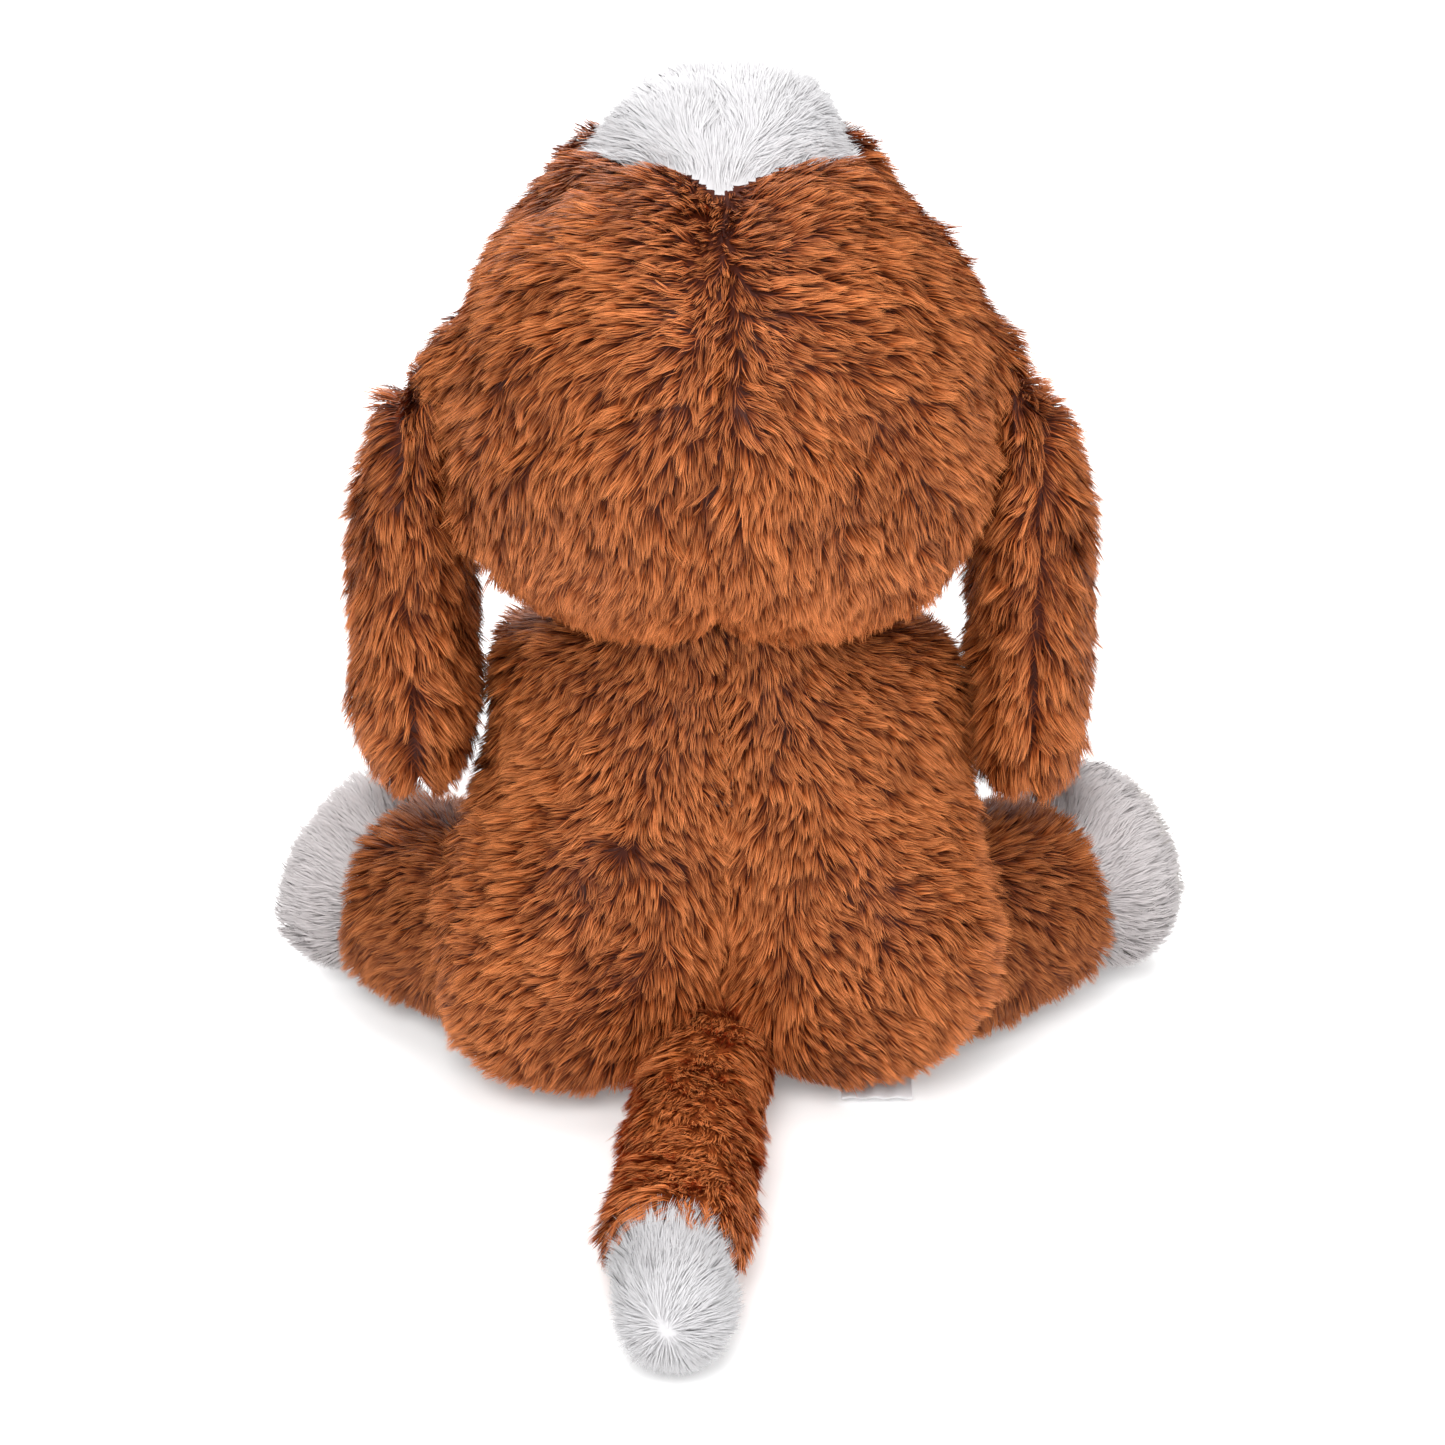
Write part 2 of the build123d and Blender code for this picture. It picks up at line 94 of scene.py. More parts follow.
def ramp(low: float, high: float, values: Array) -> Array:
    """Smooth rise from 0 at low to 1 at high.

    Args:
        low: Where the rise starts; it may be above high, for a fall.
        high: Where the rise ends.
        values: Numbers to place on the rise.

    Returns:
        One number from 0 to 1 for each value.
    """
    share = np.clip((values - low) / (high - low), 0.0, 1.0)
    return share * share * (3.0 - 2.0 * share)


def soft_least(first: Array, second: Array, softness: float) -> Array:
    """The lesser of two distances, rounded where they are nearly alike."""
    near = np.maximum(softness - np.abs(first - second), 0.0) / softness
    return np.minimum(first, second) - near * near * softness / 4.0


def turned(vectors: Array, axes: Array, angles: Array) -> Array:
    """Vectors turned about unit axes.

    Args:
        vectors: Rows to turn.
        axes: One unit axis for each row.
        angles: One angle in radians for each row.

    Returns:
        The turned rows.
    """
    cosine, sine = np.cos(angles)[:, None], np.sin(angles)[:, None]
    across = np.cross(axes, vectors)
    return vectors * cosine + across * sine + axes * dot(axes, vectors) * (1.0 - cosine)


def joint_place(name: str) -> Array:
    """Where a joint of the frame lies."""
    joint = next(j for j in frame["joints"] if j["name"] == name)
    return np.array(joint["pos_m"], float)


def polar(heading: float, rise: float = 0.0) -> Array:
    """Unit direction from a heading on the floor plan and a rise above it."""
    plan, up = math.radians(heading), math.radians(rise)
    return np.array(
        [math.cos(plan) * math.cos(up), math.sin(plan) * math.cos(up), math.sin(up)]
    )


@dataclass(frozen=True)
class Ripple:
    """Smooth unevenness over space, from a few seeded waves.

    Args:
        size: About how wide one bump is.
        seed: Number that the waves are drawn from.
        waves: How many waves are added up.
    """

    size: float
    seed: int
    waves: int = 10

    def at(self, places: Array) -> Array:
        """The unevenness at some places, about -1 to 1."""
        draw = np.random.default_rng(self.seed)
        headings = unit(draw.normal(size=(self.waves, 3)))
        rates = draw.uniform(0.55, 1.45, self.waves) * math.pi / self.size
        phases = draw.uniform(0.0, 2.0 * math.pi, self.waves)
        heights = np.sin(places @ (headings * rates[:, None]).T + phases)
        return heights.sum(1) / math.sqrt(self.waves)


class Side(Enum):
    """The dog's own left or right."""

    LEFT = 1
    RIGHT = -1

    @property
    def word(self) -> str:
        """The side as it stands in the names of nodes."""
        return self.name.lower()

    def place(self, x: float, y: float, z: float) -> Array:
        """A place given for the left side, on this side."""
        return np.array([x * self.value, y, z])


# ---- stuffed forms ----------------------------------------------------------------------


class Form:
    """A closed shape, known by the distance to its surface, negative inside."""

    def distance(self, places: Array) -> Array:
        """Distance from each place to the surface."""
        raise NotImplementedError

    def slope(self, places: Array) -> Array:
        """How fast the distance grows along X, Y and Z at each place."""
        rises = [
            self.distance(places + step) - self.distance(places - step)
            for step in np.eye(3) * SLOPE_STEP
        ]
        return np.stack(rises, -1) / (2.0 * SLOPE_STEP)

    def settle(self, places: Array, inset: float, rounds: int = 3) -> Array:
        """Places moved onto the surface, or onto one that lies inside it.

        Args:
            places: Places near the surface.
            inset: How far inside the surface they end.
            rounds: How many steps are taken.

        Returns:
            The moved places.
        """
        for _ in range(rounds):
            slope = self.slope(places)
            gap = (self.distance(places) + inset)[:, None]
            places = places - gap * slope / np.maximum(dot(slope, slope), 0.05)
        return places


@dataclass(frozen=True)
class Ball(Form):
    """Round lobe of stuffing."""

    centre: Sequence[float]
    radius: float

    def distance(self, places: Array) -> Array:
        """Distance to the lobe's surface."""
        return np.linalg.norm(places - np.asarray(self.centre), axis=1) - self.radius


@dataclass(frozen=True)
class Rod(Form):
    """Stuffed tube with round ends, which may be thicker at one end."""

    start: Sequence[float]
    end: Sequence[float]
    start_radius: float
    end_radius: float

    def distance(self, places: Array) -> Array:
        """Distance to the tube's surface."""
        start, along = np.asarray(self.start), np.subtract(self.end, self.start)
        share = np.clip((places - start) @ along / (along @ along), 0.0, 1.0)
        gap = np.linalg.norm(places - start - share[:, None] * along, axis=1)
        return gap - self.start_radius - (self.end_radius - self.start_radius) * share


@dataclass(frozen=True)
class Drum(Form):
    """Short stuffed drum with rounded rims, such as an upright foot."""

    start: Sequence[float]
    heading: Array
    radius: float
    length: float
    rounding: float

    def distance(self, places: Array) -> Array:
        """Distance to the drum's surface."""
        offset = places - np.asarray(self.start)
        along = offset @ self.heading
        aside = np.linalg.norm(offset - along[:, None] * self.heading, axis=1)
        half = self.length / 2.0
        out = aside - self.radius + self.rounding
        past = np.abs(along - half) - half + self.rounding
        corner = np.hypot(np.maximum(out, 0.0), np.maximum(past, 0.0))
        return corner + np.minimum(np.maximum(out, past), 0.0) - self.rounding


@dataclass(frozen=True)
class Flap(Form):
    """Hanging flap, by rows of height, half thickness, half width and middle in X and Y."""

    rows: Sequence[tuple[float, float, float, float, float]]

    def distance(self, places: Array) -> Array:
        """Rough distance to the flap's surface."""
        rows = np.array(sorted(self.rows))
        sizes = [np.interp(places[:, 2], rows[:, 0], rows[:, k]) for k in (1, 2, 3, 4)]
        thick, wide, middle_x, middle_y = sizes
        across = np.hypot(
            (places[:, 0] - middle_x) / thick, (places[:, 1] - middle_y) / wide
        )
        beyond = np.maximum(rows[0, 0] - places[:, 2], places[:, 2] - rows[-1, 0])
        return np.maximum((across - 1.0) * thick, beyond)


@dataclass(frozen=True)
class Joined(Form):
    """Several forms grown together, with soft hollows where they meet."""

    parts: Sequence[Form]
    softness: float

    def distance(self, places: Array) -> Array:
        """Distance to the surface of the whole."""
        whole = self.parts[0].distance(places)
        for part in self.parts[1:]:
            whole = soft_least(whole, part.distance(places), self.softness)
        return whole


@dataclass(frozen=True)
class Seated(Form):
    """A form pressed flat where it rests on the floor."""

    form: Form
    height: float
    softness: float

    def distance(self, places: Array) -> Array:
        """Distance to the surface of the pressed form."""
        under = self.height - places[:, 2]
        return -soft_least(-self.form.distance(places), -under, self.softness)


@dataclass(frozen=True)
class Trimmed(Form):
    """A form cut off at a plane, with a rounded edge."""

    form: Form
    start: Sequence[float]
    heading: Sequence[float]
    softness: float

    def distance(self, places: Array) -> Array:
        """Distance to the surface of what is left."""
        under = (np.asarray(self.start) - places) @ np.asarray(self.heading)
        return -soft_least(-self.form.distance(places), -under, self.softness)


# ---- skins ------------------------------------------------------------------------------


@dataclass
class Skin:
    """Closed cloth skin: places and four-cornered stitches."""

    places: Array
    quads: Array

    @classmethod
    def cut(cls, form: Form, low: Array, high: Array, step: float, inset: float) -> "Skin":
        """Cuts a skin to a form.

        Args:
            form: The form to cover.
            low: Lowest corner of a box round the form.
            high: Highest corner of that box.
            step: Size of one stitch.
            inset: How far inside the form the skin lies.

        Returns:
            The skin, with even stitches.
        """
        axes = [np.arange(a - 2 * step, b + 3 * step, step) for a, b in zip(low, high)]
        grid = np.stack(np.meshgrid(*axes, indexing="ij"), -1)
        counts = grid.shape[:3]
        inside = form.distance(grid.reshape(-1, 3)).reshape(counts) < -inset
        held = sum(
            inside[i : counts[0] - 1 + i, j : counts[1] - 1 + j, k : counts[2] - 1 + k].astype(int)
            for i in (0, 1)
            for j in (0, 1)
            for k in (0, 1)
        )
        mixed = (held > 0) & (held < 8)
        number = np.full(mixed.shape, -1)
        number[mixed] = np.arange(mixed.sum())
        places = grid[:-1, :-1, :-1][mixed] + step / 2.0
        quads = np.concatenate([cls._crossings(inside, number, axis) for axis in range(3)])
        skin = cls(places, quads)
        for _ in range(SKIN_ROUNDS):
            skin.places = form.settle(skin.places, inset)
            skin.relax(0.5)
        skin.places = form.settle(skin.places, inset)
        return skin

    @staticmethod
    def _crossings(inside: Array, number: Array, axis: int) -> Array:
        """One stitch for each grid edge along an axis that crosses the surface."""
        second, third = (axis + 1) % 3, (axis + 2) % 3
        moved = np.moveaxis(inside, (axis, second, third), (0, 1, 2))
        cells = np.moveaxis(number, (axis, second, third), (0, 1, 2))
        crossing = moved[:-1, 1:-1, 1:-1] != moved[1:, 1:-1, 1:-1]
        i, j, k = np.nonzero(crossing)
        corners = [cells[i, j, k], cells[i, j + 1, k], cells[i, j + 1, k + 1], cells[i, j, k + 1]]
        quads = np.stack(corners, 1)
        outward = moved[i, j + 1, k + 1]
        return np.where(outward[:, None], quads, quads[:, ::-1])

    def edges(self) -> Array:
        """Every stitch's sides, each as two places' numbers."""
        return np.concatenate([self.quads[:, [k, (k + 1) % 4]] for k in range(4)])

    def relax(self, share: float) -> None:
        """Moves each place part of the way to the middle of its neighbours."""
        ends = self.edges()
        total = np.zeros_like(self.places)
        for axis in range(3):
            total[:, axis] = np.bincount(
                ends[:, 0], self.places[ends[:, 1], axis], len(self.places)
            )
        count = np.bincount(ends[:, 0], minlength=len(self.places))[:, None]
        self.places = self.places * (1.0 - share) + total / np.maximum(count, 1) * share

    def normals(self) -> Array:
        """Unit outward direction at each place."""
        corners = self.places[self.quads]
        facing = np.cross(corners[:, 2] - corners[:, 0], corners[:, 3] - corners[:, 1])
        total = np.zeros_like(self.places)
        for corner in range(4):
            for axis in range(3):
                total[:, axis] += np.bincount(
                    self.quads[:, corner], facing[:, axis], len(self.places)
                )
        return unit(total)

    def triangles(self) -> Array:
        """The stitches, each split into two triangles."""
        return np.concatenate([self.quads[:, [0, 1, 2]], self.quads[:, [0, 2, 3]]])

    def seam_gap(self, panels: Array) -> Array:
        """Distance from each place to the nearest seam.

        Args:
            panels: The panel's number at each place.

        Returns:
            One distance for each place, large where there is no seam.
        """
        ends = self.edges()
        across = panels[ends[:, 0]] != panels[ends[:, 1]]
        if not across.any():
            return np.full(len(self.places), 1.0)
        middles = self.places[ends[across]].mean(1)
        return nearest(middles, self.places)[1]

    def as_object(self, name: str) -> bpy.types.Object:
        """The skin as a Blender object."""
        mesh = bpy.data.meshes.new(name)
        mesh.from_pydata(self.places.tolist(), [], self.quads.tolist())
        made = bpy.data.objects.new(name, mesh)
        bpy.context.scene.collection.objects.link(made)
        return made

    def refined(self) -> "Skin":
        """The skin with each stitch smoothly split in four."""
        made = self.as_object("skin_to_refine")
        split = made.modifiers.new("refine", "SUBSURF")
        split.levels = split.render_levels = 1
        graph = bpy.context.evaluated_depsgraph_get()
        fine = made.evaluated_get(graph).to_mesh()
        places = numbers(fine.vertices, "co", 3)
        quads = numbers(fine.loops, "vertex_index", 1, np.int32).reshape(-1, 4)
        made.evaluated_get(graph).to_mesh_clear()
        discard(made)
        return Skin(places, quads)


def numbers(rows: bpy.types.bpy_prop_collection, key: str, width: int, kind: type = float) -> Array:
    """A property of many mesh elements, as an array."""
    flat = np.zeros(len(rows) * width, kind)
    rows.foreach_get(key, flat)
    return flat.reshape(-1, width)


def discard(made: bpy.types.Object) -> None:
    """Removes a working object with its mesh."""
    mesh = made.data
    bpy.data.objects.remove(made)
    bpy.data.meshes.remove(mesh)


def nearest(targets: Array, places: Array) -> tuple[Array, Array]:
    """For each place, the number of the nearest target and its distance.

    Args:
        targets: Places to look for.
        places: Places to look from.

    Returns:
        The targets' numbers and the distances to them.
    """
    tree = KDTree(len(targets))
    for number, target in enumerate(targets.tolist()):
        tree.insert(target, number)
    tree.balance()
    found = [tree.find(place)[1:] for place in places.tolist()]
    index, gap = zip(*found)
    return np.array(index), np.array(gap)


# ---- stuffing ---------------------------------------------------------------------------


@dataclass
class Stuffing:
    """Fills all the skins at once, so that the cloth swells between its seams.

    Args:
        pressure: How hard the filling presses.
        frames: How long the cloth is let settle.
        seam_hold: How near a seam the cloth is held.
        swell: The most that the cloth may move.
        cloth_mass: Mass of the cloth at one place.
        stiffness: How hard the cloth is to stretch and to squeeze.
        bending: How hard the cloth is to bend.
        made: Each piece with its cloth.
    """

    pressure: float = 4.0
    frames: int = 20
    seam_hold: float = 0.005
    swell: float = 0.003
    cloth_mass: float = 0.004
    stiffness: float = 6.0
    bending: float = 0.3
    made: list[tuple["Stuffed", bpy.types.Object]] = field(default_factory=list)

    def add(self, piece: "Stuffed") -> None:
        """Lays one skin ready for filling, held along its seams."""
        cloth = piece.skin.as_object("cloth_" + piece.name)
        hold = cloth.vertex_groups.new(name="seam")
        weights = 1.0 - ramp(0.4 * self.seam_hold, self.seam_hold, piece.seam_gap)
        resting = 1.0 - ramp(*REST_BAND, piece.skin.places[:, 2])
        for number, weight in enumerate(np.maximum(weights, resting).tolist()):
            if weight > 0.0:
                hold.add([number], weight, "REPLACE")
        soft = cloth.modifiers.new("Cloth", "CLOTH")
        soft.settings.quality = 5
        soft.settings.mass = self.cloth_mass
        soft.settings.tension_stiffness = self.stiffness
        soft.settings.compression_stiffness = self.stiffness
        soft.settings.bending_stiffness = self.bending
        soft.settings.use_pressure = True
        soft.settings.uniform_pressure_force = self.pressure
        soft.settings.vertex_group_mass = hold.name
        soft.settings.effector_weights.gravity = 0.0
        soft.collision_settings.use_collision = False
        soft.point_cache.frame_start = 1
        soft.point_cache.frame_end = self.frames
        self.made.append((piece, cloth))

    def fill(self) -> None:
        """Lets the cloth swell and gives each piece its new skin."""
        scene = bpy.context.scene
        scene.frame_start, scene.frame_end = 1, self.frames
        for step in range(1, self.frames + 1):
            scene.frame_set(step)
        graph = bpy.context.evaluated_depsgraph_get()
        for piece, cloth in self.made:
            swollen = cloth.evaluated_get(graph).to_mesh()
            places = numbers(swollen.vertices, "co", 3)
            cloth.evaluated_get(graph).to_mesh_clear()
            move = places - piece.skin.places
            reach = np.linalg.norm(move, axis=1, keepdims=True)
            move *= np.minimum(1.0, self.swell / np.maximum(reach, 1e-9))
            log.info("stuffed %s: swelled by up to %.1f mm", piece.name, reach.max() * 1000)
            piece.skin.places = piece.skin.places + move
        scene.frame_set(1)
        for _, cloth in self.made:
            discard(cloth)


# ---- finishes ---------------------------------------------------------------------------


def link(tree: bpy.types.NodeTree, source: bpy.types.NodeSocket, target: bpy.types.NodeSocket) -> None:
    """Joins two sockets of a node tree."""
    tree.links.new(source, target)


def new_group(
    name: str, inputs: Sequence[tuple[str, str, object]], outputs: Sequence[tuple[str, str]]
) -> tuple[bpy.types.NodeTree, bpy.types.Node, bpy.types.Node]:
    """Starts a shader node group.

    Args:
        name: The group's name.
        inputs: Name, socket type and first value of each input.
        outputs: Name and socket type of each output.

    Returns:
        The group with its input node and its output node.
    """
    group = bpy.data.node_groups.new(name, "ShaderNodeTree")
    for label, kind, value in inputs:
        socket = group.interface.new_socket(label, in_out="INPUT", socket_type=kind)
        if value is not None:
            socket.default_value = value
    for label, kind in outputs:
        group.interface.new_socket(label, in_out="OUTPUT", socket_type=kind)
    return group, group.nodes.new("NodeGroupInput"), group.nodes.new("NodeGroupOutput")


def placed(tree: bpy.types.NodeTree, group: bpy.types.NodeTree, **values: object) -> bpy.types.Node:
    """Places a node group in a material with its own values.

    Args:
        tree: The material's node tree.
        group: The group to place.
        **values: Input values, with underscores for the spaces in their names.

    Returns:
        The group's node.
    """
    node = tree.nodes.new("ShaderNodeGroup")
    node.node_tree = group
    for label, value in values.items():
        node.inputs[label.replace("_", " ")].default_value = value
    return node


def opaque(colour: Colour) -> tuple[float, float, float, float]:
    """A colour with full cover."""
    return (*colour, 1.0)


class SharedEffects:
    """Node groups that several finishes use, each built once."""

    def __init__(self) -> None:
        """Builds every group."""
        self.pile_shade = self._pile_shade()
        self.handled = self._handled()
        self.twill = self._twill()

    @staticmethod
    def _mixer(tree: bpy.types.NodeTree, mode: str = "MIX") -> bpy.types.Node:
        """A node that mixes two colours."""
        node = tree.nodes.new("ShaderNodeMix")
        node.data_type = "RGBA"
        node.blend_type = mode
        return node

    def _pile_shade(self) -> bpy.types.NodeTree:
        """Colour along a strand, from its backing to its tip, with a tone of its own. The dark backing and
        roots are painted shade deep in the pile, partly the fibre's own darker dye, and the light tips are
        partly a painted highlight.
        """
        group, come, go = new_group(
            "pile_shade",
            [
                ("Along", "NodeSocketFloat", 0.5),
                ("Tone", "NodeSocketFloat", 0.5),
                ("Backing", "NodeSocketColor", opaque((0.1, 0.1, 0.1))),
                ("Root", "NodeSocketColor", opaque((0.2, 0.2, 0.2))),
                ("Middle", "NodeSocketColor", opaque((0.5, 0.5, 0.5))),
                ("Tip", "NodeSocketColor", opaque((0.8, 0.8, 0.8))),
                ("Deep tone", "NodeSocketColor", opaque((0.5, 0.5, 0.5))),
                ("Light tone", "NodeSocketColor", opaque((1.0, 1.0, 1.0))),
            ],
            [("Color", "NodeSocketColor")],
        )
        stretches = ((0.05, 0.12, "Backing", "Root"), (0.12, 0.55, None, "Middle"), (0.5, 1.0, None, "Tip"))
        shade = None
        for low, high, first, second in stretches:
            rise = group.nodes.new("ShaderNodeMapRange")
            rise.inputs["From Min"].default_value = low
            rise.inputs["From Max"].default_value = high
            link(group, come.outputs["Along"], rise.inputs["Value"])
            mix = self._mixer(group)
            link(group, rise.outputs["Result"], mix.inputs["Factor"])
            link(group, come.outputs[first] if first else shade, mix.inputs["A"])
            link(group, come.outputs[second], mix.inputs["B"])
            shade = mix.outputs["Result"]
        tone = self._mixer(group)
        link(group, come.outputs["Tone"], tone.inputs["Factor"])
        link(group, come.outputs["Deep tone"], tone.inputs["A"])
        link(group, come.outputs["Light tone"], tone.inputs["B"])
        toned = self._mixer(group, "MULTIPLY")
        toned.inputs["Factor"].default_value = 1.0
        link(group, shade, toned.inputs["A"])
        link(group, tone.outputs["Result"], toned.inputs["B"])
        link(group, toned.outputs["Result"], go.inputs["Color"])
        return group

    @staticmethod
    def _handled() -> bpy.types.NodeTree:
        """Roughness and height of a hard surface that has been touched."""
        group, come, go = new_group(
            "handled_surface",
            [
                ("Scale", "NodeSocketFloat", 300.0),
                ("Smoothest", "NodeSocketFloat", 0.05),
                ("Roughest", "NodeSocketFloat", 0.15),
            ],
            [("Roughness", "NodeSocketFloat"), ("Height", "NodeSocketFloat")],
        )
        place = group.nodes.new("ShaderNodeTexCoord")
        smear = group.nodes.new("ShaderNodeTexNoise")
        smear.inputs["Detail"].default_value = 5.0
        spread = group.nodes.new("ShaderNodeMapRange")
        spread.inputs["From Min"].default_value = 0.3
        spread.inputs["From Max"].default_value = 0.7
        link(group, place.outputs["Object"], smear.inputs["Vector"])
        link(group, come.outputs["Scale"], smear.inputs["Scale"])
        link(group, smear.outputs["Fac"], spread.inputs["Value"])
        link(group, come.outputs["Smoothest"], spread.inputs["To Min"])
        link(group, come.outputs["Roughest"], spread.inputs["To Max"])
        link(group, spread.outputs["Result"], go.inputs["Roughness"])
        link(group, smear.outputs["Fac"], go.inputs["Height"])
        return group

    @staticmethod
    def _twill() -> bpy.types.NodeTree:
        """Height and shade of twisted thread or close weave."""
        group, come, go = new_group(
            "twill",
            [("Scale", "NodeSocketFloat", 900.0), ("Slant", "NodeSocketFloat", 1.0)],
            [("Height", "NodeSocketFloat"), ("Shade", "NodeSocketFloat")],
        )
        place = group.nodes.new("ShaderNodeTexCoord")
        bands = group.nodes.new("ShaderNodeTexWave")
        bands.bands_direction = "DIAGONAL"
        bands.inputs["Distortion"].default_value = 1.5
        bands.inputs["Detail"].default_value = 2.0
        grain = group.nodes.new("ShaderNodeTexNoise")
        link(group, place.outputs["Object"], bands.inputs["Vector"])
        link(group, place.outputs["Object"], grain.inputs["Vector"])
        link(group, come.outputs["Scale"], bands.inputs["Scale"])
        link(group, come.outputs["Scale"], grain.inputs["Scale"])
        both = group.nodes.new("ShaderNodeMath")
        both.operation = "MULTIPLY_ADD"
        link(group, bands.outputs["Fac"], both.inputs[0])
        link(group, come.outputs["Slant"], both.inputs[1])
        link(group, grain.outputs["Fac"], both.inputs[2])
        link(group, both.outputs["Value"], go.inputs["Height"])
        link(group, grain.outputs["Fac"], go.inputs["Shade"])
        return group


def principled(name: str) -> tuple[bpy.types.Material, bpy.types.NodeTree, bpy.types.Node]:
    """A new node material with its shader."""
    made = bpy.data.materials.new(name)
    made.use_nodes = True
    return made, made.node_tree, made.node_tree.nodes["Principled BSDF"]


def shade_by(
    tree: bpy.types.NodeTree,
    shader: bpy.types.Node,
    share: bpy.types.NodeSocket,
    deep: Colour,
    light: Colour,
) -> None:
    """Colours a shader between two colours.

    Args:
        tree: The material's node tree.
        shader: Its shader.
        share: How far the colour is from deep to light, at each place.
        deep: The first colour.
        light: The second colour.
    """
    mix = tree.nodes.new("ShaderNodeMix")
    mix.data_type = "RGBA"
    mix.inputs["A"].default_value = opaque(deep)
    mix.inputs["B"].default_value = opaque(light)
    link(tree, share, mix.inputs["Factor"])
    link(tree, mix.outputs["Result"], shader.inputs["Base Color"])


def raise_by(
    tree: bpy.types.NodeTree,
    shader: bpy.types.Node,
    height: bpy.types.NodeSocket,
    strength: float,
    depth: float,
) -> None:
    """Gives a shader fine relief.

    Args:
        tree: The material's node tree.
        shader: Its shader.
        height: The height at each place.
        strength: How strongly the relief shows.
        depth: How deep it is.
    """
    bump = tree.nodes.new("ShaderNodeBump")
    bump.inputs["Strength"].default_value = strength
    bump.inputs["Distance"].default_value = depth
    link(tree, height, bump.inputs["Height"])
    link(tree, bump.outputs["Normal"], shader.inputs["Normal"])


@dataclass(frozen=True)
class PileFinish:
    """Colours and shine of one kind of pile.

    Args:
        name: The material's name.
        slot: The record's material slot; not used.
        backing: Colour of the cloth between the strands, painted dark as the shade deep in the pile.
        root: Colour at a strand's foot, darkened partly as painted shade.
        middle: Colour half way up.
        tip: Colour at the tip, partly a painted highlight.
        deep_tone: Tint of the darkest strands.
        light_tone: Tint of the lightest strands.
        roughness: Roughness of the fibre.
        sheen: Strength of the soft glow at the edges.
        shine: Strength of the fibre's own gloss.
    """

    name: str
    slot: str
    backing: Colour
    root: Colour
    middle: Colour
    tip: Colour
    deep_tone: Colour
    light_tone: Colour
    roughness: float = 0.5
    sheen: float = 0.15
    shine: float = 0.4

    def material(self, effects: SharedEffects) -> bpy.types.Material:
        """Builds the finish as a material."""
        made, tree, shader = principled(self.name)
        chart = tree.nodes.new("ShaderNodeUVMap")
        chart.uv_map = BAKE_MAP
        parts = tree.nodes.new("ShaderNodeSeparateXYZ")
        shade = placed(
            tree,
            effects.pile_shade,
            Backing=opaque(self.backing),
            Root=opaque(self.root),
            Middle=opaque(self.middle),
            Tip=opaque(self.tip),
            Deep_tone=opaque(self.deep_tone),
            Light_tone=opaque(self.light_tone),
        )
        link(tree, chart.outputs["UV"], parts.inputs["Vector"])
        link(tree, parts.outputs["X"], shade.inputs["Tone"])
        link(tree, parts.outputs["Y"], shade.inputs["Along"])
        link(tree, shade.outputs["Color"], shader.inputs["Base Color"])
        shader.inputs["Roughness"].default_value = self.roughness
        shader.inputs["Specular IOR Level"].default_value = self.shine
        shader.inputs["Sheen Weight"].default_value = self.sheen
        shader.inputs["Sheen Roughness"].default_value = 0.35
        return made


@dataclass(frozen=True)
class PlasticFinish:
    """Moulded and polished plastic.

    Args:
        name: The material's name.
        deep: Colour in the deep places.
        light: Colour on the high places.
        smoothest: Roughness where it is cleanest.
        roughest: Roughness where it has been touched most.
        grain: How many bumps there are to a metre.
        relief: Strength of the moulded grain.
        coat: Weight of the clear coat.
    """

    name: str
    deep: Colour
    light: Colour
    smoothest: float
    roughest: float
    grain: float = 250.0
    relief: float = 0.02
    coat: float = 0.0

    def material(self, effects: SharedEffects) -> bpy.types.Material:
        """Builds the finish as a material."""
        made, tree, shader = principled(self.name)
        touch = placed(
            tree, effects.handled, Scale=self.grain, Smoothest=self.smoothest, Roughest=self.roughest
        )
        shade_by(tree, shader, touch.outputs["Height"], self.deep, self.light)
        raise_by(tree, shader, touch.outputs["Height"], self.relief, PLASTIC_GRAIN_DEPTH)
        link(tree, touch.outputs["Roughness"], shader.inputs["Roughness"])
        shader.inputs["Coat Weight"].default_value = self.coat
        shader.inputs["Coat Roughness"].default_value = 0.03
        return made


@dataclass(frozen=True)
class ClothFinish:
    """Twisted thread, satin tape or close weave.

    Args:
        name: The material's name.
        deep: Colour between the yarns.
        light: Colour on the yarns.
        scale: How many yarns there are to a metre.
        slant: How strongly the yarns stand out.
        roughness: Roughness of the yarn.
        sheen: Strength of the soft glow at the edges.
    """

    name: str
    deep: Colour
    light: Colour
    scale: float
    slant: float
    roughness: float
    sheen: float

    def material(self, effects: SharedEffects) -> bpy.types.Material:
        """Builds the finish as a material."""
        made, tree, shader = principled(self.name)
        weave = placed(tree, effects.twill, Scale=self.scale, Slant=self.slant)
        shade_by(tree, shader, weave.outputs["Shade"], self.deep, self.light)
        raise_by(tree, shader, weave.outputs["Height"], YARN_RELIEF, YARN_DEPTH)
        shader.inputs["Roughness"].default_value = self.roughness
        shader.inputs["Sheen Weight"].default_value = self.sheen
        return made
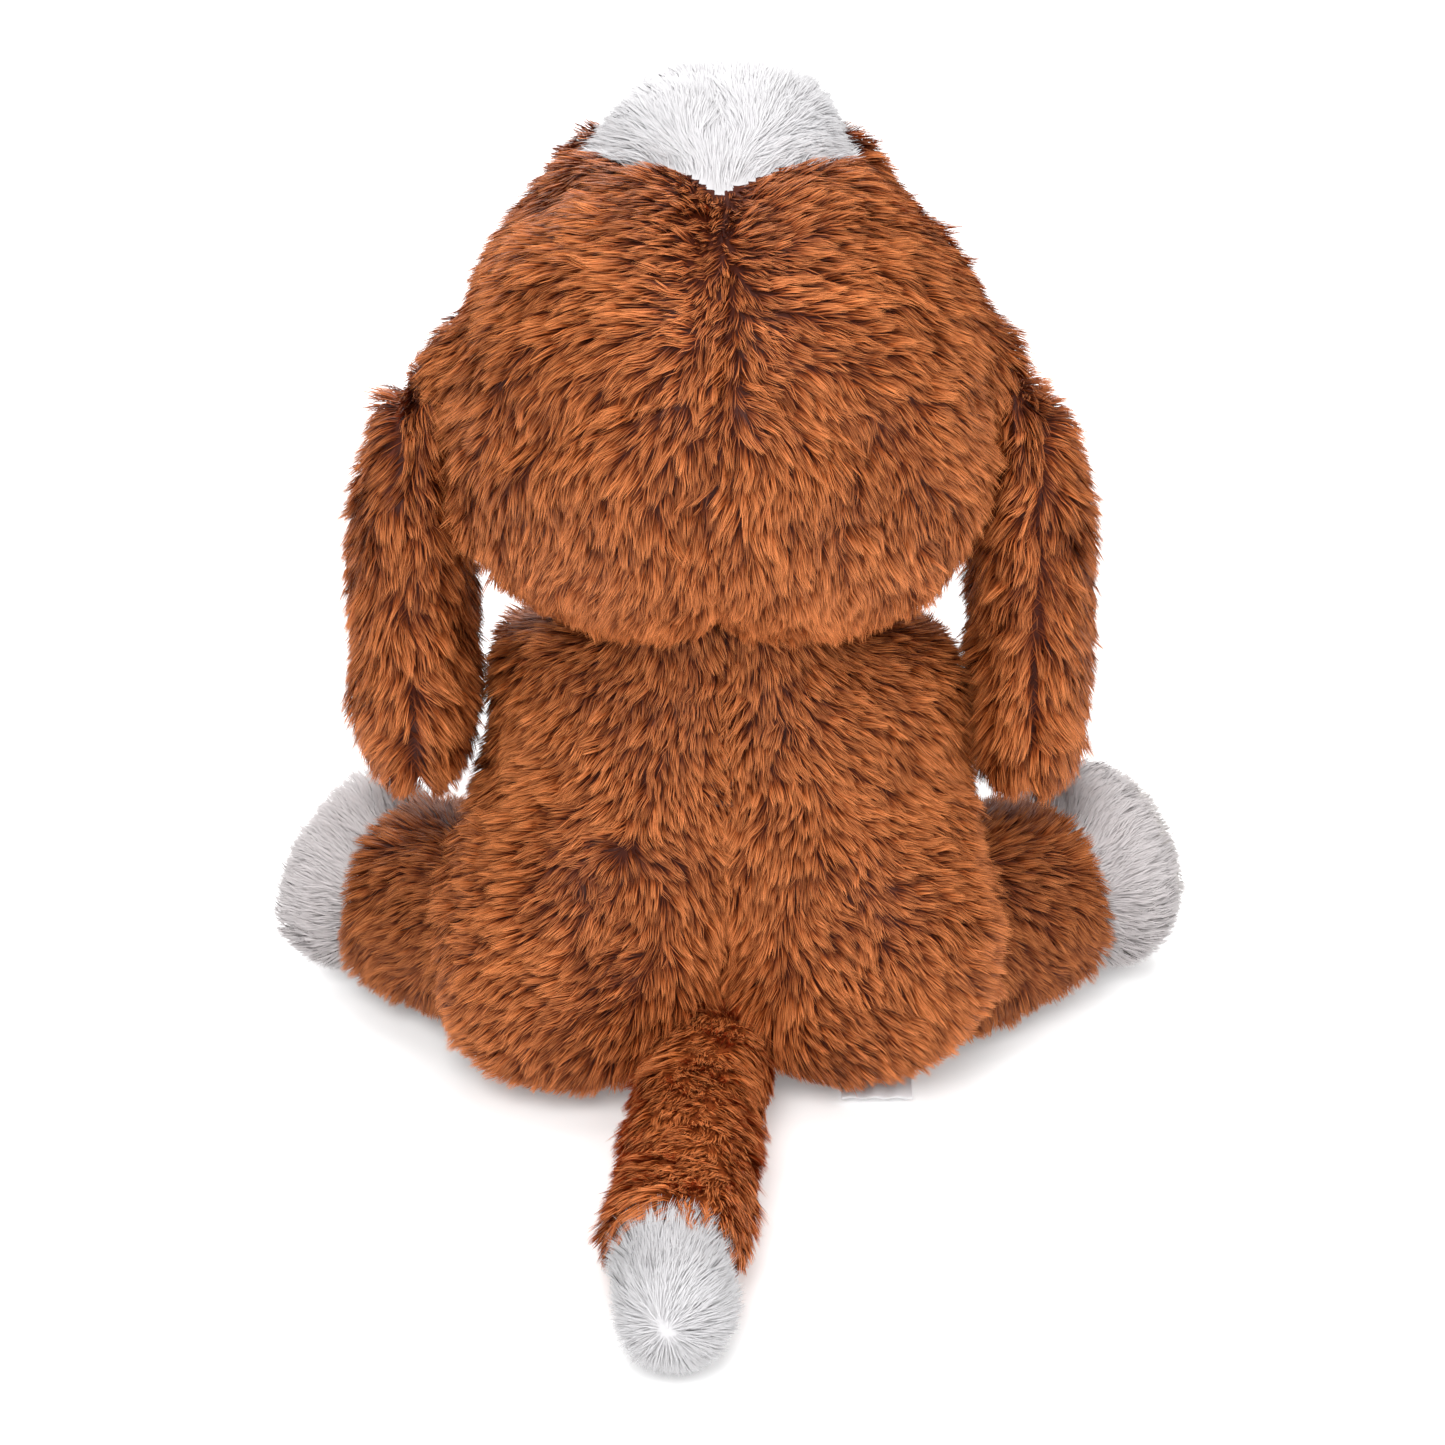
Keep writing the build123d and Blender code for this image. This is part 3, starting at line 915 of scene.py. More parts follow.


# Dark backing and roots are painted shade deep in the pile, partly darker dye; the light tips are partly a
# painted highlight.
RUST_PILE = PileFinish(
    name="rust_brown_pile",
    slot="brown_pile",
    backing=(0.060, 0.008, 0.0012),
    root=(0.080, 0.011, 0.0015),
    middle=(0.29, 0.057, 0.008),
    tip=(0.80, 0.255, 0.070),
    deep_tone=(0.30, 0.22, 0.16),
    light_tone=(1.40, 1.52, 1.80),
    roughness=0.55,
    sheen=0.0,
    shine=0.20,
)
# Darker copy of the brown pile for the legs: painted shade, since the legs sit in shadow from the side.
SHADED_LEG_PILE = replace(
    RUST_PILE,
    name="leg_brown_pile",
    deep_tone=(0.28, 0.21, 0.16),
    light_tone=(0.94, 1.00, 1.15),
)
# Lighter copy of the brown pile for the tail: painted light, to make up for the tail looking dark against
# its nap.
LIT_TAIL_PILE = replace(
    RUST_PILE,
    name="tail_brown_pile",
    backing=(0.28, 0.060, 0.012),
    root=(0.34, 0.078, 0.015),
    middle=(0.52, 0.130, 0.026),
    tip=(0.90, 0.310, 0.100),
    deep_tone=(0.60, 0.50, 0.42),
    light_tone=(1.20, 1.28, 1.45),
)
SNOW_PILE = PileFinish(
    name="snow_white_pile",
    slot="white_pile",
    backing=(0.56, 0.55, 0.56),
    root=(0.58, 0.57, 0.58),
    middle=(0.62, 0.61, 0.62),
    tip=(0.65, 0.64, 0.65),
    deep_tone=(0.95, 0.95, 0.955),
    light_tone=(1.0, 1.0, 1.0),
    roughness=0.65,
    sheen=0.10,
    shine=0.2,
)
# Evener grey copy of the white pile for the tail's tip, matched to its grey shading: painted shade.
SHADED_TIP_PILE = replace(
    SNOW_PILE,
    name="tail_white_pile",
    backing=(0.60, 0.59, 0.60),
    root=(0.61, 0.60, 0.61),
    middle=(0.62, 0.61, 0.62),
    tip=(0.63, 0.62, 0.63),
    deep_tone=(0.97, 0.97, 0.975),
)
# Greyer, pinker copy of the white pile for the feet: painted shade.
SHADED_FOOT_PILE = replace(
    SNOW_PILE,
    name="foot_white_pile",
    backing=(0.53, 0.49, 0.49),
    root=(0.56, 0.52, 0.52),
    middle=(0.59, 0.55, 0.55),
    tip=(0.61, 0.57, 0.57),
    deep_tone=(0.97, 0.97, 0.97),
)
SOLE_PLUSH = replace(
    SNOW_PILE,
    name="short_sole_plush",
    slot="sole_plush",
    backing=(0.56, 0.52, 0.50),
    root=(0.66, 0.62, 0.60),
    middle=(0.74, 0.70, 0.68),
    tip=(0.80, 0.76, 0.74),
    deep_tone=(0.94, 0.94, 0.94),
    sheen=0.15,
    shine=0.25,
)
EYE_PLASTIC = PlasticFinish(
    name="eye_plastic",
    deep=(0.006, 0.003, 0.002),
    light=(0.030, 0.012, 0.006),
    smoothest=0.03,
    roughest=0.10,
    grain=90.0,
    relief=0.01,
    coat=1.0,
)
NOSE_PLASTIC = PlasticFinish(
    name="nose_plastic",
    deep=(0.008, 0.006, 0.006),
    light=(0.020, 0.016, 0.015),
    smoothest=0.16,
    roughest=0.30,
    grain=900.0,
    relief=0.25,
    coat=0.3,
)
WASHER_PLASTIC = PlasticFinish(
    name="washer_plastic",
    deep=(0.62, 0.62, 0.60),
    light=(0.78, 0.78, 0.76),
    smoothest=0.35,
    roughest=0.5,
    grain=200.0,
    relief=0.05,
)
MOUTH_THREAD = ClothFinish(
    name="mouth_thread",
    deep=(0.008, 0.006, 0.005),
    light=(0.035, 0.028, 0.025),
    scale=1400.0,
    slant=1.0,
    roughness=0.55,
    sheen=0.3,
)
SEAM_THREAD = replace(
    MOUTH_THREAD,
    name="seam_thread",
    deep=(0.035, 0.008, 0.003),
    light=(0.090, 0.022, 0.007),
    roughness=0.7,
    sheen=0.0,
)
LABEL_SATIN = ClothFinish(
    name="label_satin",
    deep=(0.74, 0.74, 0.76),
    light=(0.86, 0.86, 0.88),
    scale=2200.0,
    slant=0.4,
    roughness=0.32,
    sheen=0.2,
)
FINISHES = (
    RUST_PILE,
    SHADED_LEG_PILE,
    LIT_TAIL_PILE,
    SNOW_PILE,
    SHADED_TIP_PILE,
    SHADED_FOOT_PILE,
    SOLE_PLUSH,
    EYE_PLASTIC,
    NOSE_PLASTIC,
    WASHER_PLASTIC,
    MOUTH_THREAD,
    SEAM_THREAD,
    LABEL_SATIN,
)


# ---- pile -------------------------------------------------------------------------------


@dataclass(frozen=True)
class Pile:
    """How one kind of pile is woven and how it lies.

    Args:
        length: Length of a strand.
        density: Strands to a square metre.
        width: Width of a strand at its foot.
        rise: Angle between a strand's middle and the cloth.
        bend: How much lower the tip leans than the foot.
        wander: Slow turning of the nap over the cloth.
        stray: Turning of single strands.
        tuft: Space between small tufts.
        tuft_pull: How far strands are drawn into their tuft.
        lock: Space between large locks.
        lock_pull: How far strands are drawn into their lock.
        joints: Number of straight runs in a strand.
        seam_keep: Share of the length that is left beside a seam.
        glint: How unevenly single strands catch the light, in radians.
    """

    length: float = 0.0094
    density: float = 2.5e6
    width: float = 0.00032
    rise: float = 38.0
    bend: float = 24.0
    wander: float = 13.0
    stray: float = 10.0
    tuft: float = 0.0020
    tuft_pull: float = 0.50
    lock: float = 0.0060
    lock_pull: float = 0.16
    joints: int = 2
    seam_keep: float = 0.75
    glint: float = 0.35


SMOOTH_PILE = Pile(
    length=0.0080,
    stray=9.0,
    tuft=0.0026,
    tuft_pull=0.0,
    lock=0.012,
    lock_pull=0.0,
    seam_keep=0.95,
    glint=0.12,
)


@dataclass(frozen=True)
class Whorl:
    """A spot from which the nap runs out to all sides."""

    centre: Sequence[float]
    reach: float


@dataclass(frozen=True)
class Clearing:
    """Where pile is bare, and short round about, beside an eye or along stitching."""

    line: Sequence[Sequence[float]]
    bare: float
    short: float
    keep: float = 0.3

    def share(self, places: Array) -> Array:
        """Share of its length that pile keeps at some places."""
        gap = np.min([np.linalg.norm(places - np.asarray(p), axis=1) for p in self.line], axis=0)
        length = self.keep + (1.0 - self.keep) * ramp(self.bare, self.short, gap)
        return np.where(gap < self.bare, 0.0, length)


@dataclass(frozen=True)
class Panel:
    """One sewn panel: its node, the nodes it stands for, its finish, pile and nap."""

    name: str
    finish: PileFinish
    pile: Pile
    flow: Flow
    stands_for: tuple[str, ...] = ()
    fill: float = 0.8


class Coat:
    """The pile of one panel, as tapered ribbons."""

    foot_depth = 0.0004  # how far a strand starts below the cloth
    twist = 35.0  # how unevenly ribbons are turned about themselves
    narrowing = 0.25  # share of its width that a ribbon loses before its last run
    tuft_tone, lock_tone, slow_tone, own_tone = 0.19, 0.10, 0.08, 0.17  # what a strand's tone is made of
    chart_half = 0.0025  # half the width of a strand on its chart
    chart_foot = 0.12  # where strands start on their chart
    chart_run = 0.86  # how far they run on it

    def __init__(self, panel: Panel, roots: Array, normals: Array, keep: Array, seed: int) -> None:
        """Takes the places that strands grow from.

        Args:
            panel: The panel that the pile is on.
            roots: Place of each strand's foot.
            normals: Outward direction of the cloth there.
            keep: Share of its length that each strand keeps.
            seed: Number that all chance is drawn from.
        """
        self.panel, self.pile = panel, panel.pile
        self.roots, self.normals, self.keep = roots, normals, keep
        self.draw = np.random.default_rng(seed)
        self.seed = seed

    def _gathered(self, spacing: float) -> tuple[Array, Array]:
        """Gathers strands round some of their number.

        Args:
            spacing: Space between the strands that the others gather round.

        Returns:
            The number of the leading strand for each strand, and of its group.
        """
        share = 1.0 / (self.pile.density * spacing * spacing)
        count = max(int(len(self.roots) * share), 1)
        leaders = self.draw.choice(len(self.roots), count, replace=False)
        group, _ = nearest(self.roots[leaders], self.roots)
        return leaders[group], group

    def _headings(self, tuft: Array, lock: Array) -> Array:
        """The direction in which each strand lies on the cloth."""
        pile, count = self.pile, len(self.roots)
        flow = self.panel.flow(self.roots, self.normals)
        flow = flow + self.draw.normal(0.0, 0.02, (count, 3))
        flow = unit(flow - dot(flow, self.normals) * self.normals)
        slow = Ripple(0.030, self.seed + 11).at(self.roots) * pile.wander
        quick = Ripple(0.011, self.seed + 12).at(self.roots) * pile.wander * 0.7
        by_tuft = self.draw.normal(0.0, pile.stray, tuft.max() + 1)[tuft]
        by_lock = self.draw.normal(0.0, pile.stray, lock.max() + 1)[lock]
        own = self.draw.normal(0.0, pile.stray * 0.8, count)
        return turned(flow, self.normals, np.radians(slow + quick + by_tuft + by_lock + own))

    def strands(self) -> tuple[Array, Array]:
        """Lays every strand.

        Returns:
            The strands' points, and a tone from 0 to 1 for each strand.
        """
        pile, draw, count = self.pile, self.draw, len(self.roots)
        tuft_leader, tuft = self._gathered(pile.tuft)
        lock_leader, lock = self._gathered(pile.lock)
        heading = self._headings(tuft, lock)
        tuft_size = draw.normal(0.0, 1.0, tuft.max() + 1)[tuft]
        lock_size = draw.normal(0.0, 1.0, lock.max() + 1)[lock]
        slow = Ripple(0.022, self.seed + 13).at(self.roots)
        length = pile.length * self.keep * (1.0 + 0.07 * tuft_size + 0.06 * lock_size + 0.05 * slow)
        length *= draw.uniform(0.82, 1.06, count)
        rise = pile.rise + 5.0 * tuft_size + 4.0 * lock_size + 4.0 * slow + draw.normal(0.0, 5.0, count)
        points = [self.roots - self.normals * self.foot_depth]
        for step in range(pile.joints):
            share = (step + 0.5) / pile.joints
            lean = np.radians(np.clip(rise + pile.bend * (0.5 - share), 3.0, 85.0))[:, None]
            way = heading * np.cos(lean) + self.normals * np.sin(lean)
            points.append(points[-1] + way * length[:, None] / pile.joints)
        points = np.stack(points, 1)
        drawn = (np.arange(pile.joints + 1) / pile.joints) ** 1.2
        for leader, pull in ((lock_leader, pile.lock_pull), (tuft_leader, pile.tuft_pull)):
            points = points + (points[leader] - points) * (drawn * pull)[None, :, None]
        points[:, :, 2] = np.maximum(points[:, :, 2], FLOOR_CLEAR)
        tone = 0.5 + self.tuft_tone * tuft_size + self.lock_tone * lock_size + self.slow_tone * slow
        tone = tone + draw.normal(0.0, self.own_tone, count)
        return points, np.clip(tone, 0.03, 0.96)

    def ribbons(self) -> tuple[Array, list[Array], list[Array], Array]:
        """Makes a tapered ribbon of every strand.

        Returns:
            Places, faces of two kinds, a chart place for each face corner, and the
            direction that catches the light at each place.
        """
        points, tone = self.strands()
        count, joints = len(points), self.pile.joints
        facing = turned(
            self.normals,
            unit(points[:, -1] - points[:, 0]),
            np.radians(self.draw.normal(0.0, self.twist, count)),
        )
        width = self.pile.width * self.draw.uniform(0.75, 1.2, count) * (0.5 + 0.5 * self.keep)
        places = np.zeros((count, 2 * joints + 1, 3))
        for step in range(joints):
            along = unit(points[:, step + 1] - points[:, max(step - 1, 0)])
            breadth = width * (1.0 - self.narrowing * step / joints)
            across = unit(np.cross(along, facing)) * breadth[:, None] / 2.0
            places[:, 2 * step] = points[:, step] - across
            places[:, 2 * step + 1] = points[:, step] + across
        places[:, -1] = points[:, -1]
        first = (np.arange(count) * (2 * joints + 1))[:, None]
        quads = np.concatenate(
            [first + 2 * s + np.array([0, 1, 3, 2]) for s in range(joints - 1)]
        )
        tips = first + 2 * (joints - 1) + np.array([0, 1, 2])
        left, right = tone - self.chart_half, tone + self.chart_half
        height = self.chart_foot + self.chart_run * np.arange(joints + 1) / joints
        quad_chart = []
        for s in range(joints - 1):
            low, high = np.full(count, height[s]), np.full(count, height[s + 1])
            corners = [(left, low), (right, low), (right, high), (left, high)]
            quad_chart.append(np.stack([np.stack(c, -1) for c in corners], 1))
        low, high = np.full(count, height[joints - 1]), np.full(count, height[joints])
        tip_chart = np.stack([np.stack(c, -1) for c in ((left, low), (right, low), (tone, high))], 1)
        tilt = self.draw.normal(0.0, self.pile.glint, count)
        lift = turned(self.normals, unit(np.cross(self.normals, facing) + 1e-9), tilt)
        lit = np.repeat(lift[:, None], 2 * joints + 1, 1).reshape(-1, 3)
        return places.reshape(-1, 3), [quads, tips], [np.concatenate(quad_chart), tip_chart], lit


def mesh_object(
    name: str, places: Array, faces: Sequence[Array], charts: Sequence[Array], facing: Array
) -> bpy.types.Object:
    """Makes an object from faces of several kinds.

    Args:
        name: The piece's name.
        places: All the places.
        faces: For each kind of face, its corners' numbers by row.
        charts: For each kind of face, its corners' chart places.
        facing: The direction that catches the light at each place.

    Returns:
        The new object, in the scene.
    """
    mesh = bpy.data.meshes.new(name)
    corners = np.concatenate([f.ravel() for f in faces]).astype(np.int32)
    sizes = np.concatenate([np.full(len(f), f.shape[1]) for f in faces])
    starts = np.concatenate([[0], np.cumsum(sizes)[:-1]]).astype(np.int32)
    mesh.vertices.add(len(places))
    mesh.vertices.foreach_set("co", places.ravel().astype(np.float32))
    mesh.loops.add(len(corners))
    mesh.loops.foreach_set("vertex_index", corners)
    mesh.polygons.add(len(sizes))
    mesh.polygons.foreach_set("loop_start", starts)
    mesh.polygons.foreach_set("use_smooth", np.ones(len(sizes), bool))
    chart = mesh.uv_layers.new(name=BAKE_MAP, do_init=False)
    spots = np.concatenate([c.reshape(-1, 2) for c in charts]).astype(np.float32)
    chart.uv.foreach_set("vector", spots.ravel())
    mesh.update(calc_edges=True)
    mesh.validate()
    mesh.normals_split_custom_set_from_vertices(facing.astype(np.float32))
    made = bpy.data.objects.new(name, mesh)
    bpy.context.scene.collection.objects.link(made)
    return made


# ---- stuffed pieces ---------------------------------------------------------------------


@dataclass(frozen=True)
class Crease:
    """A valley in the stuffed skin along a line of places, such as a seam or a dart."""

    line: Sequence[Sequence[float]]
    depth: float
    reach: float

    def dip(self, places: Array) -> Array:
        """How far the skin is drawn in at some places."""
        best = np.full(len(places), 1.0)
        for start, end in zip(self.line[:-1], self.line[1:]):
            first, along = np.asarray(start), np.subtract(end, start)
            share = np.clip((places - first) @ along / (along @ along), 0.0, 1.0)
            gap = np.linalg.norm(places - first - share[:, None] * along, axis=1)
            best = np.minimum(best, gap)
        return self.depth * np.exp(-((best / self.reach) ** 2))


class Stuffed:
    """A stuffed sub-assembly: one closed skin, sewn from panels, on one body."""

    name: str
    body: str
    seed: int
    seam_depth: float = 0.003
    seam_reach: float = 0.006
    inset: float = 0.0012
    skin_step: float = SKIN_STEP
    unevenness: float = 0.0012
    lump_size: float = 0.034
    stitch_depth: float = 0.0012
    stitch_reach: float = 0.0022

    def __init__(self) -> None:
        """Works out the panels and cuts the skin."""
        self.shape = self.form()
        self.panels = self.cut_panels()
        boxes = [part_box(panel.name) for panel in self.panels]
        low = np.min([box[0] for box in boxes], axis=0)
        high = np.max([box[1] for box in boxes], axis=0)
        self.skin = Skin.cut(self.shape, low, high, self.skin_step, self.inset)
        self.pinch(self.seam_depth, self.seam_reach)

    def form(self) -> Form:
        """The stuffed form."""
        raise NotImplementedError

    def cut_panels(self) -> list[Panel]:
        """The panels that the skin is sewn from."""
        raise NotImplementedError

    def panel_at(self, places: Array) -> Array:
        """The number of the panel that covers each place."""
        return np.zeros(len(places), int)

    def creases(self) -> list[Crease]:
        """Valleys besides the seams between panels."""
        return []

    def clearings(self) -> list[Clearing]:
        """Where the pile is short or bare."""
        return []

    def buried_in(self) -> list[tuple[Form, float]]:
        """Forms that hide this piece's pile, each with the depth from which they do."""
        return []

    def pinch(self, depth: float, reach: float) -> None:
        """Draws the skin in along its seams and creases.

        Args:
            depth: How far a seam is drawn in.
            reach: How wide the valley beside a seam is.
        """
        self.seam_gap = self.skin.seam_gap(self.panel_at(self.skin.places))
        dip = depth * np.exp(-((self.seam_gap / reach) ** 2))
        for crease in self.creases():
            dip = np.maximum(dip, crease.dip(self.skin.places))
        self.skin.places = self.skin.places - self.skin.normals() * dip[:, None]

    def finish_skin(self) -> None:
        """Splits the stuffed skin finer, makes it a little uneven and sews the seams tight."""
        self.skin = self.skin.refined()
        lumps = Ripple(self.lump_size, self.seed + 5).at(self.skin.places) * self.unevenness
        self.skin.places = self.skin.places + self.skin.normals() * lumps[:, None]
        self.seam_gap = self.skin.seam_gap(self.panel_at(self.skin.places))
        tight = self.stitch_depth * np.exp(-((self.seam_gap / self.stitch_reach) ** 2))
        self.skin.places = self.skin.places - self.skin.normals() * tight[:, None]
        self.skin.places[:, 2] = np.maximum(self.skin.places[:, 2], FLOOR_CLEAR)

    def scatter(self) -> tuple[Array, Array, Array]:
        """Scatters strands' feet evenly over the skin.

        Returns:
            Places, outward directions and distances to the nearest seam.
        """
        draw = np.random.default_rng(self.seed)
        faces = self.skin.triangles()
        corners = self.skin.places[faces]
        areas = np.linalg.norm(
            np.cross(corners[:, 1] - corners[:, 0], corners[:, 2] - corners[:, 0]), axis=1
        ) / 2.0
        most = max(panel.pile.density for panel in self.panels)
        count = int(areas.sum() * most)
        face = np.searchsorted(np.cumsum(areas), draw.uniform(0.0, areas.sum(), count))
        face = np.minimum(face, len(faces) - 1)
        first, second = np.sqrt(draw.uniform(0.0, 1.0, count)), draw.uniform(0.0, 1.0, count)
        shares = np.stack([1.0 - first, first * (1.0 - second), first * second], 1)[:, :, None]
        places = (corners[face] * shares).sum(1)
        normals = unit((self.skin.normals()[faces[face]] * shares).sum(1))
        gaps = (self.seam_gap[faces[face]] * shares[:, :, 0]).sum(1)
        return places, normals, gaps

    def keep_at(self, places: Array, gaps: Array, panel: Panel) -> Array:
        """Share of its length that each strand keeps, by seams, clearings and hiding forms."""
        keep = panel.pile.seam_keep + (1.0 - panel.pile.seam_keep) * ramp(0.0, 0.006, gaps)
        keep = keep * (0.55 + 0.45 * ramp(*SHORT_PILE_BAND, places[:, 2]))
        for clearing in self.clearings():
            keep = keep * clearing.share(places)
        for form, depth in self.buried_in():
            keep = np.where(form.distance(places) < -depth, 0.0, keep)
        return keep

    def dress(self, materials: dict[str, bpy.types.Material]) -> None:
        """Grows the pile and makes one piece of each panel.

        Args:
            materials: Materials by the name of their finish.
        """
        places, normals, gaps = self.scatter()
        draw = np.random.default_rng(self.seed + 1)
        edge = places + draw.normal(0.0, 0.0009, places.shape)
        owner = self.panel_at(edge)
        most = max(panel.pile.density for panel in self.panels)
        middles = self.skin.places[self.skin.quads].mean(1)
        quad_owner = self.panel_at(middles)
        for number, panel in enumerate(self.panels):
            keep = self.keep_at(places, gaps, panel)
            chosen = (owner == number) & (keep > 0.05)
            chosen &= draw.uniform(0.0, 1.0, len(places)) < panel.pile.density / most
            picked = np.nonzero(chosen)[0]
            patch = self.skin.quads[quad_owner == number]
            each = 2 * panel.pile.joints - 1
            room = (PIECE_TRIANGLES - 2 * len(patch)) // each
            if len(picked) > room:
                log.info("%s: %d strands thinned to %d", panel.name, len(picked), room)
                picked = np.sort(draw.choice(picked, room, replace=False))
            coat = Coat(panel, places[picked], normals[picked], keep[picked], self.seed + 20 * number)
            made = self.sew(panel, patch, coat)
            made.data.materials.append(materials[panel.finish.name])
            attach(made, self.body)
            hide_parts(panel.name, *panel.stands_for)
            log.info("built %s: %d strands on %d stitches", made.name, len(picked), len(patch))

    def sew(self, panel: Panel, patch: Array, coat: Coat) -> bpy.types.Object:
        """Joins a panel's cloth with its pile.

        Args:
            panel: The panel.
            patch: The panel's stitches in the skin.
            coat: The pile on it.

        Returns:
            The finished piece.
        """
        used, corners = np.unique(patch, return_inverse=True)
        cloth = self.skin.places[used]
        corners = corners.reshape(-1, 4)
        tone = np.clip(0.5 + 0.16 * Ripple(0.012, self.seed + 7).at(cloth), 0.05, 0.95)
        # The cloth's chart heights lie in the backing stretch, so the cloth takes the dark backing colour:
        # painted shade between the strands.
        height = 0.025 + 0.009 * Ripple(0.010, self.seed + 8).at(cloth)
        chart = np.stack([tone, np.clip(height, 0.003, 0.047)], 1)[corners]
        strands, faces, charts, lit = coat.ribbons()
        shifted = [face + len(cloth) for face in faces]
        return mesh_object(
            panel.name + "_plush",
            np.concatenate([cloth, strands]),
            [corners, *shifted],
            [chart, *charts],
            np.concatenate([self.skin.normals()[used], lit]),
        )


def toward(*direction: float) -> Flow:
    """A nap that runs one way all over."""
    return lambda places, normals: np.tile(np.array(direction, float), (len(places), 1))


def away_from(centre: Sequence[float], lean: Sequence[float] = (0.0, 0.0, 0.0)) -> Flow:
    """A nap that runs out from one spot, leaning one way."""
    return lambda places, normals: unit(places - np.asarray(centre)) + np.asarray(lean)


def with_whorls(base: Flow, whorls: Sequence[Whorl]) -> Flow:
    """A nap with whorls in it.

    Args:
        base: The nap elsewhere.
        whorls: Spots from which the nap runs out.

    Returns:
        The whole nap.
    """

    def flow(places: Array, normals: Array) -> Array:
        """The nap at some places."""
        run = unit(base(places, normals))
        for whorl in whorls:
            out = places - np.asarray(whorl.centre)
            gap = np.linalg.norm(out, axis=1, keepdims=True)
            weight = np.exp(-((gap / whorl.reach) ** 2))
            run = unit(run + unit(out) * weight)
        return run

    return flow


@dataclass(frozen=True)
class TorsoSizes:
    """Lobes of the trunk, as centre and radius, and the height and softness of its rest."""

    belly: tuple[Place, float] = ((0.0, 0.002, 0.054), 0.062)
    chest: tuple[Place, float] = ((0.016, 0.003, 0.088), 0.053)
    seat: tuple[Place, float] = ((0.043, 0.036, 0.043), 0.045)
    shoulder: tuple[Place, float] = ((0.044, -0.006, 0.111), 0.027)
    flank: tuple[Place, float] = ((0.043, 0.006, 0.072), 0.031)
    neck_radius: float = 0.036
    right_seat_loss: float = 0.003
    softness: float = 0.020
    belly_seam: float = -0.017
    rest: tuple[float, float] = (0.002, 0.014)


TORSO_SIZES = TorsoSizes()


def torso_shape(sizes: TorsoSizes = TORSO_SIZES) -> Form:
    """The pear-shaped trunk with its two seat lobes."""
    lobes = [Ball(*sizes.belly), Ball(joint_place("head_nod"), sizes.neck_radius)]
    for side in Side:
        loss = 0.0 if side is Side.LEFT else sizes.right_seat_loss
        for centre, radius in (sizes.chest, sizes.shoulder, sizes.flank):
            lobes.append(Ball(side.place(*centre), radius))
        centre, radius = sizes.seat
        lobes.append(Ball(side.place(*centre), radius - loss))
    return Seated(Joined(lobes, sizes.softness), *sizes.rest)


@dataclass(frozen=True)
class HeadSizes:
    """Lobes of the head, from the neck's joint, and the white blaze."""

    skull: tuple[Place, float] = ((0.0, -0.002, 0.064), 0.078)
    brow: tuple[Place, float] = ((0.0, -0.031, 0.086), 0.054)
    crown: tuple[Place, float] = ((0.0, -0.024, 0.1095), 0.045)
    muzzle: tuple[Place, float] = ((0.012, -0.092, 0.040), 0.030)
    cheek: tuple[Place, float] = ((0.024, 0.004, 0.044), 0.053)
    ear_seat: tuple[Place, float] = ((0.077, -0.008, 0.068), 0.0125)
    nape: tuple[Place, Place] = ((0.0, 0.035, -0.001), (0.0, -0.5, 0.866))
    nape_softness: float = 0.016
    softness: float = 0.012
    blaze_floor: float = 0.200
    chin_seam: float = -0.062
    muzzle_top: float = 0.218
    blaze_back: float = 0.015
    blaze_rows: tuple[float, ...] = (-0.062, -0.024, -0.001, 0.015)
    blaze_halves: tuple[float, ...] = (0.028, 0.038, 0.027, 0.0)


HEAD_SIZES = HeadSizes()


def head_shape(sizes: HeadSizes = HEAD_SIZES) -> Form:
    """The round head with its forehead and muzzle."""
    neck = joint_place("head_nod")
    centre, radius = sizes.muzzle
    muzzle = Rod(
        neck + np.array(centre), neck + np.array(centre) * np.array([-1, 1, 1]), radius, radius
    )
    lobes = [muzzle]
    for centre, radius in (sizes.skull, sizes.brow, sizes.crown):
        lobes.append(Ball(neck + np.array(centre), radius))
    for side in Side:
        for centre, radius in (sizes.cheek, sizes.ear_seat):
            lobes.append(Ball(neck + side.place(*centre), radius))
    start, heading = sizes.nape
    return Trimmed(Joined(lobes, sizes.softness), neck + np.array(start), heading, sizes.nape_softness)


